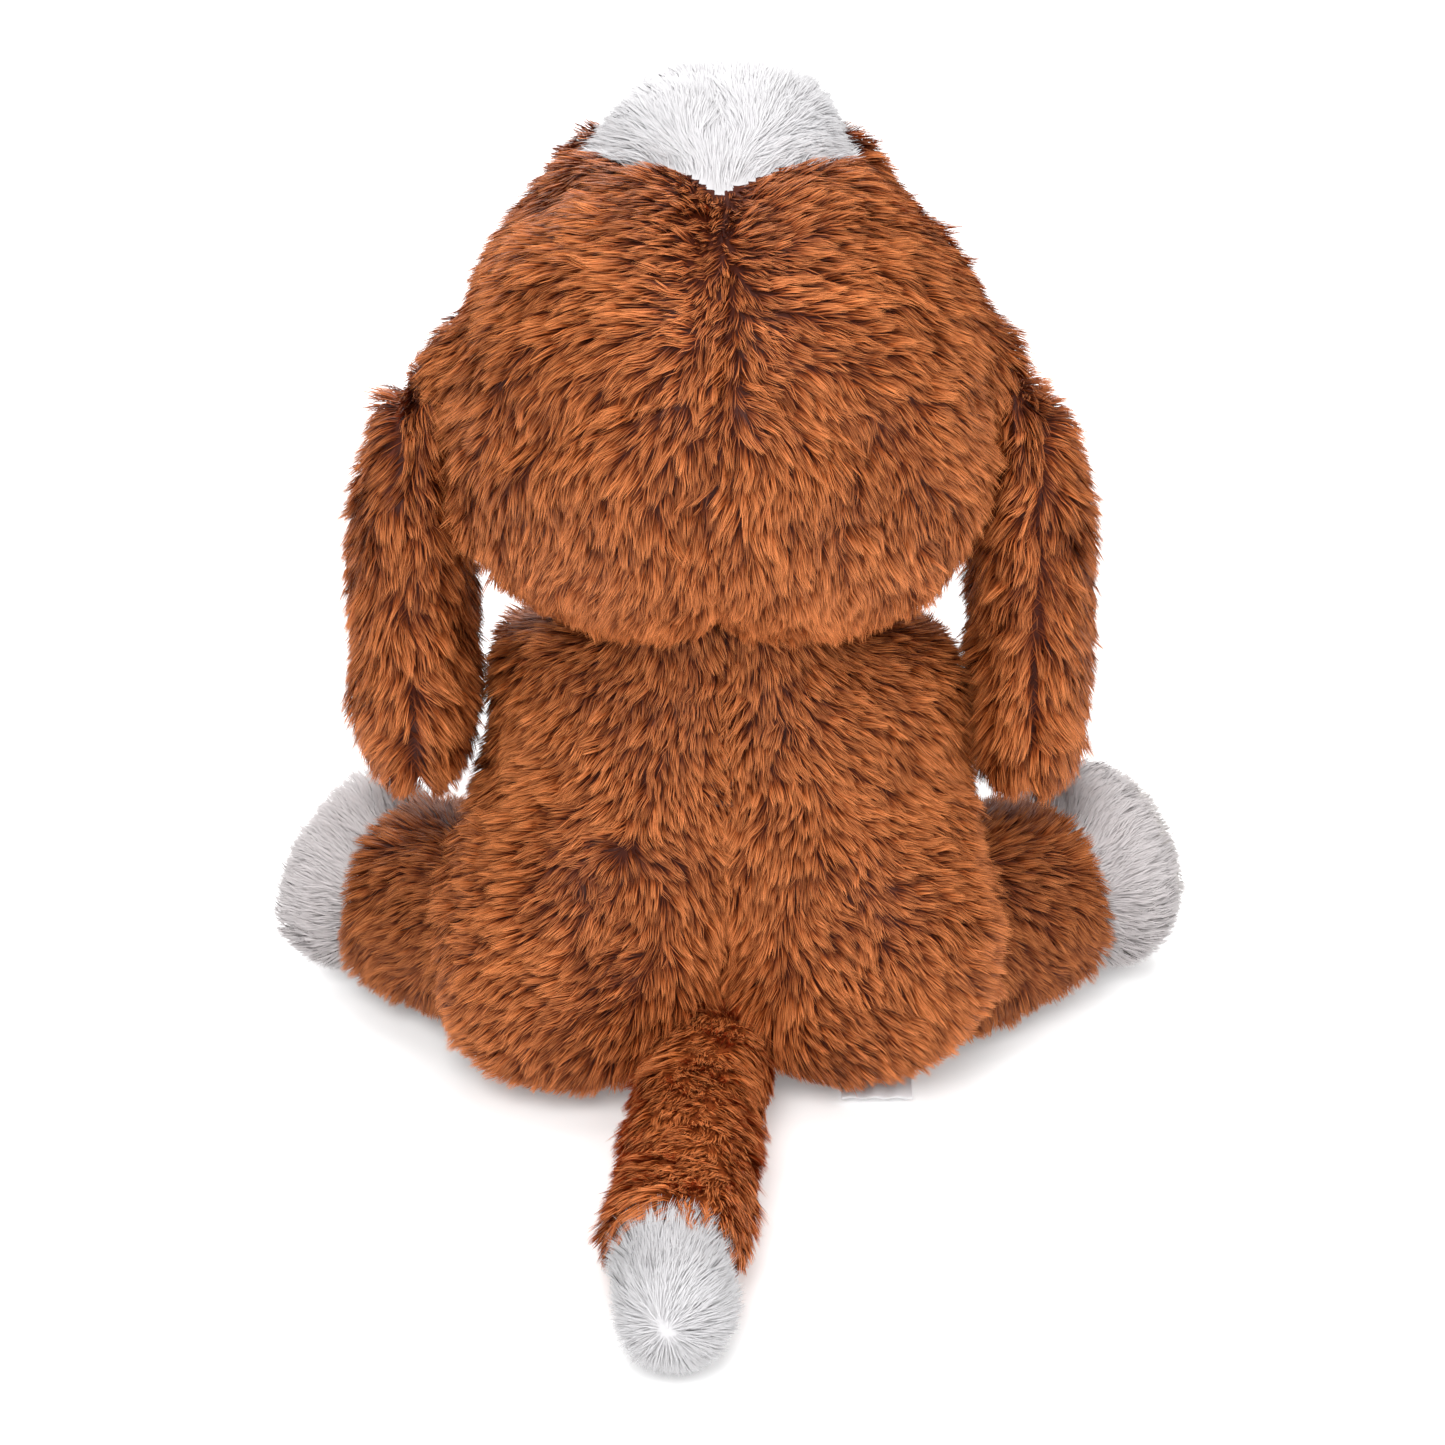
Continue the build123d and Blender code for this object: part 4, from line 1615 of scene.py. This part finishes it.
class Torso(Stuffed):
    """Trunk: belly panel and two back panels."""

    name, body, seed = "torso", "torso", 100
    seam_depth = 0.0045
    seam_reach = 0.008
    unevenness = 0.0018

    def form(self) -> Form:
        """The trunk's form."""
        return torso_shape()

    def panel_at(self, places: Array) -> Array:
        """Belly in front of the side seams, and a back panel on each side behind them."""
        behind = np.where(places[:, 0] > 0.0, 1, 2)
        return np.where(places[:, 1] < TORSO_SIZES.belly_seam, 0, behind)

    def creases(self) -> list[Crease]:
        """Darts over the hips and the hollows beside the tail."""
        return [
            Crease([(0.031, 0.058, 0.105), (0.033, 0.058, 0.085), (0.026, 0.078, 0.060)], 0.0035, 0.007),
            Crease([(-0.030, 0.058, 0.106), (-0.036, 0.058, 0.088), (-0.040, 0.075, 0.066)], 0.0045, 0.007),
            Crease([(-0.002, 0.070, 0.060), (0.000, 0.066, 0.030), (0.002, 0.060, 0.010)], 0.009, 0.008),
        ]

    def buried_in(self) -> list[tuple[Form, float]]:
        """Neck inside the head, and the seats of the limbs."""
        hidden = [(head_shape(), 0.012)]
        for side in Side:
            hidden.append((Leg.shape_of(side), 0.012))
            hidden.append((Arm.shape_of(side), 0.009))
        return hidden

    def cut_panels(self) -> list[Panel]:
        """The trunk's panels."""
        back = with_whorls(
            self.back_nap,
            [
                Whorl((0.031, 0.056, 0.086), 0.024),
                Whorl((-0.034, 0.056, 0.092), 0.026),
                Whorl((0.024, 0.077, 0.056), 0.018),
            ],
        )
        pile = Pile()
        belly_pile = Pile(density=1.5e6)
        return [
            Panel("torso_belly", RUST_PILE, belly_pile, self.front_nap, ("pellet_pouch", "pellets")),
            Panel("torso_back_left", RUST_PILE, pile, back, ("torso_filling",)),
            Panel("torso_back_right", RUST_PILE, pile, back, ("neck_filling",)),
        ]

    @staticmethod
    def back_nap(places: Array, normals: Array) -> Array:
        """Straight down at the shoulders, and out over the hips."""
        outward = np.tanh(places[:, 0] / 0.010)
        spread = 0.25 + 0.95 * ramp(0.110, 0.060, places[:, 2])
        spread = spread * ramp(0.004, 0.030, np.abs(places[:, 0]))
        return np.stack([outward * spread, 0.0 * outward, -np.ones(len(places))], 1)

    @staticmethod
    def front_nap(places: Array, normals: Array) -> Array:
        """Down over the chest and out over the belly."""
        outward = np.tanh(places[:, 0] / 0.015)
        return np.stack([0.5 * outward, 0.0 * outward, -np.ones(len(places))], 1)


class Head(Stuffed):
    """Head: two brown side panels and a white face panel that runs over the crown."""

    name, body, seed = "head", "head", 200
    seam_depth = 0.0035
    seam_reach = 0.007

    def form(self) -> Form:
        """The head's form."""
        return head_shape()

    def panel_at(self, places: Array) -> Array:
        """White on the muzzle and in the blaze, brown on both sides."""
        sizes = HEAD_SIZES
        x, y, z = places.T
        half = np.interp(y, sizes.blaze_rows, sizes.blaze_halves)
        blaze = (z > sizes.blaze_floor) & (np.abs(x) < half) & (y < sizes.blaze_back)
        muzzle = (y < sizes.chin_seam) & (z < sizes.muzzle_top)
        return np.where(blaze | muzzle, 2, np.where(x > 0.0, 0, 1))

    def creases(self) -> list[Crease]:
        """The crease over the crown and the hollows along the back seam."""
        return [
            Crease([(0.001, 0.030, 0.286), (0.0, 0.0, 0.300), (0.0, -0.030, 0.302)], 0.0030, 0.006),
            Crease([(0.004, 0.066, 0.255), (0.005, 0.070, 0.243)], 0.007, 0.007),
            Crease([(0.009, 0.076, 0.217), (0.011, 0.074, 0.200)], 0.007, 0.006),
            Crease([(0.006, 0.066, 0.252), (0.030, 0.064, 0.240), (0.060, 0.045, 0.222)], 0.004, 0.006),
            Crease([(0.000, 0.068, 0.248), (-0.028, 0.067, 0.236), (-0.050, 0.058, 0.222)], 0.004, 0.006),
        ]

    def clearings(self) -> list[Clearing]:
        """Round the eyes, under the nose and along the mouth."""
        cleared = []
        for side in Side:
            low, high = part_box("eye_" + side.word)
            cleared.append(Clearing([(low + high) / 2.0], bare=0.0085, short=0.017, keep=0.35))
        low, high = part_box("nose")
        middle = (low + high) / 2.0
        line = [(middle.x + step, middle.y, middle.z) for step in (-0.007, 0.0, 0.007)]
        cleared.append(Clearing(line, bare=0.0085, short=0.018, keep=0.3))
        mouth = numbers(frame["nodes"]["mouth_stitching"].data.vertices, "co", 3)
        chosen = mouth[:: max(len(mouth) // 60, 1)]
        cleared.append(Clearing([tuple(p) for p in chosen], bare=0.0012, short=0.008, keep=0.22))
        return cleared

    def buried_in(self) -> list[tuple[Form, float]]:
        """The hollow that sits on the neck."""
        return [(torso_shape(), 0.010)]

    def cut_panels(self) -> list[Panel]:
        """The head's panels."""
        nap = with_whorls(self.side_nap, [Whorl((-0.004, 0.070, 0.243), 0.009)])
        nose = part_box("nose")[0]
        face_pile = replace(
            SMOOTH_PILE, length=0.0078, density=2.4e6, width=0.00042, rise=26.0, bend=14.0, wander=9.0,
            tuft=0.0024, lock=0.010,
        )
        pile = Pile(length=0.0098, rise=34.0)
        muzzle_nap = away_from((0.0, nose.y + 0.004, nose.z - 0.002))

        def face_nap(places: Array, normals: Array) -> Array:
            """Forward over the crown, and back from the nose on the muzzle."""
            above = ramp(0.214, 0.236, places[:, 2:])
            sideways = places[:, :1] * 8.0
            ahead = -np.ones_like(sideways)
            forward = np.concatenate([sideways, ahead, 0.5 * ahead], 1)
            return forward * above + muzzle_nap(places, normals) * (1.0 - above)

        return [
            Panel("head_left", RUST_PILE, pile, nap, ("head_filling",)),
            Panel("head_right", RUST_PILE, pile, nap),
            Panel("face_panel", SNOW_PILE, face_pile, face_nap),
        ]

    @staticmethod
    def side_nap(places: Array, normals: Array) -> Array:
        """Out and down from the back seam, straight down below, and back over the cheeks."""
        x, y, z = places.T
        outward = np.tanh(x / 0.008)
        spread = 0.12 + 1.5 * ramp(0.222, 0.262, z)
        behind = ramp(-0.020, 0.030, y)
        sideways = outward * (spread * behind + 0.9 * (1.0 - behind))
        backward = 0.9 * (1.0 - behind)
        return np.stack([sideways, backward, -np.ones(len(places))], 1)


class Ear(Stuffed):
    """Hanging ear: an outer layer and a lining, sewn round the edge."""

    seam_depth = 0.0030
    seam_reach = 0.005
    inset = 0.0
    skin_step = 0.004

    def __init__(self, side: Side) -> None:
        """Builds the ear on one side of the head."""
        self.side = side
        self.name = self.body = "ear_" + side.word
        self.seed = 300 if side is Side.LEFT else 340
        super().__init__()

    def form(self) -> Form:
        """The flap, thin where it is sewn on and wide below."""
        root = joint_place(f"ear_{self.side.word}_lift")
        rows = [
            (0.216, 0.004, 0.009, 0.0865),
            (0.210, 0.007, 0.015, 0.0885),
            (0.202, 0.0105, 0.021, 0.0915),
            (0.183, 0.0138, 0.028, 0.0942),
            (0.152, 0.0155, 0.033, 0.0955),
            (0.118, 0.0160, 0.035, 0.0955),
            (0.092, 0.0145, 0.030, 0.0955),
            (0.082, 0.0095, 0.021, 0.0955),
            (0.076, 0.0040, 0.010, 0.0950),
        ]
        return Flap([(z, t, w, self.side.value * x, root[1]) for z, t, w, x in rows])

    def panel_at(self, places: Array) -> Array:
        """Outer layer away from the head, lining toward it."""
        middle = joint_place(f"ear_{self.side.word}_lift")[0]
        return np.where((places[:, 0] - middle) * self.side.value > 0.0, 0, 1)

    def cut_panels(self) -> list[Panel]:
        """The ear's layers."""
        pile = Pile(length=0.0110, density=1.9e6, rise=33.0, lock=0.008, lock_pull=0.28, seam_keep=0.9)
        out = float(self.side.value)
        return [
            Panel(f"ear_{self.side.word}_outer", RUST_PILE, pile, self.nap(0.30 * out)),
            Panel(f"ear_{self.side.word}_lining", RUST_PILE, pile, self.nap(-0.30 * out)),
        ]

    @staticmethod
    def nap(outward: float) -> Flow:
        """Down the ear, away from the edge seam."""

        def flow(places: Array, normals: Array) -> Array:
            """The nap at some places."""
            from_root = 0.5 * ramp(0.190, 0.216, places[:, 2])
            across = np.full(len(places), outward)
            return np.stack([across, 0.25 * np.sign(places[:, 1] + 0.008), from_root - 1.0], 1)

        return flow


class Arm(Stuffed):
    """Arm: a brown sleeve and a white paw."""

    skin_step = 0.004
    inset = 0.0030
    shoulder_radius = 0.0175
    wrist_radius = 0.0165
    paw_radius = 0.020

    def __init__(self, side: Side) -> None:
        """Builds the arm on one side of the trunk."""
        self.side = side
        self.name = self.body = "arm_" + side.word
        self.seed = 400 if side is Side.LEFT else 440
        super().__init__()

    @staticmethod
    def wrist_of(side: Side) -> tuple[Array, Array]:
        """The wrist's place and the arm's heading there."""
        shoulder = joint_place(f"arm_{side.word}_swing")
        wrist = shoulder + side.place(0.001, -0.046, -0.042)
        return wrist, unit(wrist - shoulder)

    @classmethod
    def shape_of(cls, side: Side) -> Form:
        """The arm's form on one side."""
        shoulder = joint_place(f"arm_{side.word}_swing")
        wrist, _ = cls.wrist_of(side)
        paw = wrist + side.place(-0.002, -0.014, -0.012)
        sleeve = Rod(shoulder, wrist, cls.shoulder_radius, cls.wrist_radius)
        return Joined([sleeve, Ball(paw, cls.paw_radius)], 0.008)

    def form(self) -> Form:
        """The arm's form."""
        return self.shape_of(self.side)

    def panel_at(self, places: Array) -> Array:
        """Sleeve above the wrist, paw below it."""
        wrist, heading = self.wrist_of(self.side)
        return np.where((places - wrist) @ heading > 0.0, 1, 0)

    def buried_in(self) -> list[tuple[Form, float]]:
        """The shoulder inside the trunk."""
        return [(torso_shape(), 0.002)]

    def cut_panels(self) -> list[Panel]:
        """The arm's panels."""
        word = self.side.word
        _, heading = self.wrist_of(self.side)
        down = tuple(heading + np.array([0.0, 0.0, -0.5]))
        pile = Pile(length=0.0085, density=1.4e6)
        paw = Pile(length=0.0075, density=1.3e6, rise=32.0, tuft_pull=0.2, lock_pull=0.1, seam_keep=0.9)
        return [
            Panel(f"arm_{word}_sleeve", RUST_PILE, pile, toward(*down), (f"arm_{word}_filling",)),
            Panel(f"arm_{word}_paw", SNOW_PILE, paw, toward(*heading)),
        ]


class Leg(Stuffed):
    """Leg: a brown sleeve, a white upright foot and a short plush sole."""

    seam_reach = 0.005
    heading_angle = -35.0
    shank_reach = 0.042
    foot_reach = 0.050
    foot_radius = 0.0315
    foot_length = 0.034
    right_foot_gain = 0.003
    ankle = 0.053
    sole_seam = 0.079

    def __init__(self, side: Side) -> None:
        """Builds the leg on one side of the trunk."""
        self.side = side
        self.name = self.body = "leg_" + side.word
        self.seed = 500 if side is Side.LEFT else 540
        super().__init__()

    @classmethod
    def heading_of(cls, side: Side) -> Array:
        """The leg's heading on the floor plan."""
        return side.place(*polar(cls.heading_angle))

    @classmethod
    def shape_of(cls, side: Side) -> Form:
        """The leg's form on one side."""
        hip, heading = joint_place(f"leg_{side.word}_splay"), cls.heading_of(side)
        leg = Rod(hip, hip + heading * cls.shank_reach, 0.033, 0.031)
        larger = 0.0 if side is Side.LEFT else cls.right_foot_gain
        start = hip + heading * (cls.foot_reach + larger) + np.array([0.0, 0.0, larger])
        foot = Drum(start, heading, cls.foot_radius + larger, cls.foot_length + larger, 0.015)
        return Seated(Joined([leg, foot], 0.008), 0.002, 0.010)

    def form(self) -> Form:
        """The leg's form."""
        return self.shape_of(self.side)

    def panel_at(self, places: Array) -> Array:
        """Sleeve up to the ankle, foot beyond it, and the sole at its end."""
        hip = joint_place(f"leg_{self.side.word}_splay")
        along = (places - hip) @ self.heading_of(self.side)
        return np.where(along < self.ankle, 0, np.where(along < self.sole_seam, 1, 2))

    def buried_in(self) -> list[tuple[Form, float]]:
        """The hip inside the trunk."""
        return [(torso_shape(), 0.012)]

    def cut_panels(self) -> list[Panel]:
        """The leg's panels."""
        word, heading = self.side.word, self.heading_of(self.side)
        run = tuple(heading * 0.45 + np.array([0.0, 0.0, -0.8]))
        hip = joint_place(f"leg_{word}_splay")
        lower = hip + self.side.place(0.030, 0.012, -0.006)
        sleeve_nap = with_whorls(toward(*run), [Whorl(lower, 0.014)])
        foot = replace(SMOOTH_PILE, density=2.2e6, width=0.00038, rise=34.0, wander=8.0, tuft_pull=0.05)
        sole = Pile(
            length=0.0035, density=1.5e6, width=0.0004, rise=60.0, tuft_pull=0.2, lock_pull=0.0,
            seam_keep=0.9,
        )
        return [
            # The sleeve wears the brown pile darkened as painted shade.
            Panel(f"leg_{word}_sleeve", SHADED_LEG_PILE, Pile(), sleeve_nap, (f"leg_{word}_filling",)),
            # The foot wears the white pile greyed as painted shade.
            Panel(f"leg_{word}_foot", SHADED_FOOT_PILE, foot, toward(*(heading + np.array([0, 0, 0.25])))),
            Panel(f"leg_{word}_sole", SOLE_PLUSH, sole, toward(0.0, 0.0, -1.0)),
        ]


class Tail(Stuffed):
    """Tail: a brown sleeve with a lengthwise crease, and a full white tip."""

    name, body, seed = "tail", "tail", 600
    skin_step = 0.004
    inset = 0.0025
    seam_depth = 0.002
    heading_angle = 83.0
    tip_seam = 0.098
    bend = 0.006

    @classmethod
    def point(cls, reach: float) -> Array:
        """A place on the tail's axis, which bends a little, from its root."""
        aside = cls.bend * ramp(0.070, 0.120, np.array([reach]))[0]
        return joint_place("tail_wag") + polar(cls.heading_angle) * reach - np.array([aside, 0.0, 0.0])

    def form(self) -> Form:
        """The tail's form."""
        sleeve = [
            Rod(self.point(0.0), self.point(0.045), 0.0200, 0.0195),
            Rod(self.point(0.045), self.point(0.090) + np.array([0.0015, 0.0, 0.0]), 0.0195, 0.0212),
        ]
        tip = Rod(self.point(0.094), self.point(0.1225), 0.0165, 0.0165)
        return Seated(Joined([*sleeve, tip], 0.005), 0.0, 0.006)

    def panel_at(self, places: Array) -> Array:
        """Sleeve up to the tip's seam."""
        along = (places - joint_place("tail_wag")) @ polar(self.heading_angle)
        return np.where(along > self.tip_seam, 1, 0)

    def creases(self) -> list[Crease]:
        """The valley along the top of the tail."""
        return [Crease([(0.010, 0.110, 0.038), (0.012, 0.138, 0.038), (0.012, 0.160, 0.038)], 0.003, 0.005)]

    def cut_panels(self) -> list[Panel]:
        """The tail's panels."""
        brown = Pile(length=0.0100, rise=30.0, lock=0.008, lock_pull=0.22)
        white = replace(SMOOTH_PILE, density=3.2e6, width=0.00036, rise=38.0, wander=6.0)
        nap = toward(0.1, 1.0, -0.35)
        star = self.point(0.1365) + np.array([0.001, 0.0, 0.004])
        return [
            # The sleeve wears the brown pile lightened as painted light.
            Panel("tail_sleeve", LIT_TAIL_PILE, brown, nap, ("tail_filling",)),
            # The tip wears the white pile greyed as painted shade.
            Panel("tail_tip", SHADED_TIP_PILE, white, away_from(star)),
        ]


# ---- small trim -------------------------------------------------------------------------


class CareLabel:
    """Blank satin tape, folded double and caught in the seam under the right hip."""

    node = "care_label"
    gap = 0.0005  # half the space between the two layers, at the fold
    droop = 0.0016
    wave = 0.0004
    wave_rate = 900.0
    rows_along, rows_across = 41, 17

    def __init__(self) -> None:
        """Reads where the tape lies."""
        self.low, self.high = (np.array(corner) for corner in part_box(self.node))

    def build(self, materials: dict[str, bpy.types.Material]) -> None:
        """Builds the folded tape and dresses it."""
        depth = self.high[1] - self.low[1]
        middle = (self.low[2] + self.high[2]) / 2.0
        turn = np.linspace(0.0, 1.0, self.rows_along)
        share = 1.0 - np.abs(turn * 2.0 - 1.0)
        side = np.where(turn < 0.5, 1.0, -1.0)
        lift = side * self.gap * np.sqrt(np.clip(1.0 - share**6, 0.0, 1.0))
        across = np.linspace(self.low[0], self.high[0], self.rows_across)
        rows = []
        for x in across:
            ripple = self.wave * math.sin(self.wave_rate * x) * share
            height = middle + lift - self.droop * share**2 + ripple
            rows.append(np.stack([np.full(len(share), x), self.low[1] + depth * share, height], 1))
        count = len(share)
        faces = [
            (i * count + j, (i + 1) * count + j, (i + 1) * count + j + 1, i * count + j + 1)
            for i in range(len(across) - 1)
            for j in range(count - 1)
        ]
        mesh = bpy.data.meshes.new("care_label_tape")
        mesh.from_pydata(np.concatenate(rows).tolist(), [], faces)
        mesh.polygons.foreach_set("use_smooth", np.ones(len(faces), bool))
        tape = bpy.data.objects.new("care_label_tape", mesh)
        bpy.context.scene.collection.objects.link(tape)
        mesh.materials.append(materials[LABEL_SATIN.name])
        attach(tape, "torso")
        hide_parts(self.node)


class Fittings:
    """Eyes, nose, washers and stitching that keep the frame's own shapes."""

    finishes = {
        "eye_left": EYE_PLASTIC,
        "eye_right": EYE_PLASTIC,
        "nose": NOSE_PLASTIC,
        "eye_washers": WASHER_PLASTIC,
        "nose_washer": WASHER_PLASTIC,
        "mouth_stitching": MOUTH_THREAD,
        "closing_stitches": SEAM_THREAD,
    }

    def dress(self, materials: dict[str, bpy.types.Material]) -> None:
        """Gives each fitting its finish."""
        for node, finish in self.finishes.items():
            piece = frame["nodes"][node]
            for place in piece.material_slots:
                place.material = materials[finish.name]
            log.info("dressed %s in %s", node, finish.name)


# ---- studio -----------------------------------------------------------------------------


@dataclass(frozen=True)
class Lamp:
    """One soft lamp: where it stands, how large it is and how bright."""

    name: str
    place: Place
    size: float
    power: float


@dataclass(frozen=True)
class Studio:
    """Plain pale floor, soft lamps and the camera behind the dog."""

    target: Place = (0.0, 0.035, 0.120)
    distance: float = 1.2
    elevation: float = 30.0
    lens: float = 98.7
    floor: Colour = (0.93, 0.93, 0.93)
    floor_half: float = 4.0
    floor_glow: float = 0.2
    ambient: float = 0.60
    lamps: tuple[Lamp, ...] = (
        Lamp("key", (0.25, 1.15, 1.30), 0.8, 19.0),
        Lamp("fill", (-0.80, 0.90, 1.00), 1.1, 7.0),
        Lamp("top", (0.0, -0.20, 1.7), 1.2, 10.0),
        Lamp("front", (0.3, -1.3, 0.8), 1.0, 18.0),
    )

    def build(self) -> None:
        """Sets up floor, lamps, sky and camera."""
        self._floor()
        for lamp in self.lamps:
            self._lamp(lamp)
        world = bpy.data.worlds.new("studio_sky")
        world.use_nodes = True
        sky = world.node_tree.nodes["Background"]
        sky.inputs["Color"].default_value = (1.0, 1.0, 1.0, 1.0)
        sky.inputs["Strength"].default_value = self.ambient
        bpy.context.scene.world = world
        bpy.context.scene.view_settings.view_transform = "Standard"
        rise = math.radians(self.elevation)
        target = Vector(self.target)
        back = Vector((0.0, math.cos(rise), math.sin(rise)))
        camera = bpy.data.objects.new("camera", bpy.data.cameras.new("camera"))
        camera.data.lens = self.lens
        camera.location = target + back * self.distance
        camera.rotation_euler = (-back).to_track_quat("-Z", "Y").to_euler()
        bpy.context.scene.collection.objects.link(camera)
        bpy.context.scene.camera = camera
        log.info("set up the studio with %d lamps", len(self.lamps))

    def _floor(self) -> None:
        """Lays the pale floor."""
        half = self.floor_half
        mesh = bpy.data.meshes.new("studio_floor")
        corners = [(-half, -half, 0.0), (half, -half, 0.0), (half, half, 0.0), (-half, half, 0.0)]
        mesh.from_pydata(corners, [], [(0, 1, 2, 3)])
        floor = bpy.data.objects.new("studio_floor", mesh)
        bpy.context.scene.collection.objects.link(floor)
        made, _, shader = principled("studio_paper")
        shader.inputs["Base Color"].default_value = opaque(self.floor)
        shader.inputs["Roughness"].default_value = 0.9
        shader.inputs["Emission Color"].default_value = opaque(self.floor)
        shader.inputs["Emission Strength"].default_value = self.floor_glow
        mesh.materials.append(made)

    def _lamp(self, lamp: Lamp) -> None:
        """Hangs one lamp, turned to the dog."""
        light = bpy.data.lights.new(lamp.name, "AREA")
        light.shape = "DISK"
        light.size = lamp.size
        light.energy = lamp.power
        made = bpy.data.objects.new("lamp_" + lamp.name, light)
        made.location = lamp.place
        aim = Vector(self.target) - Vector(lamp.place)
        made.rotation_euler = aim.to_track_quat("-Z", "Y").to_euler()
        bpy.context.scene.collection.objects.link(made)


# ---- the whole dog ----------------------------------------------------------------------


def build_materials() -> dict[str, bpy.types.Material]:
    """Builds every finish once."""
    effects = SharedEffects()
    return {finish.name: finish.material(effects) for finish in FINISHES}


def main() -> None:
    """Builds the dog and its studio."""
    logging.basicConfig(level=logging.INFO, format="%(name)s: %(message)s")
    materials = build_materials()
    pieces: list[Stuffed] = [Torso(), Head(), Tail()]
    for side in Side:
        pieces += [Ear(side), Arm(side), Leg(side)]
    stuffing = Stuffing()
    for piece in pieces:
        stuffing.add(piece)
    stuffing.fill()
    for piece in pieces:
        piece.finish_skin()
        piece.dress(materials)
    CareLabel().build(materials)
    Fittings().dress(materials)
    Studio().build()


if __name__ == "__main__":
    main()
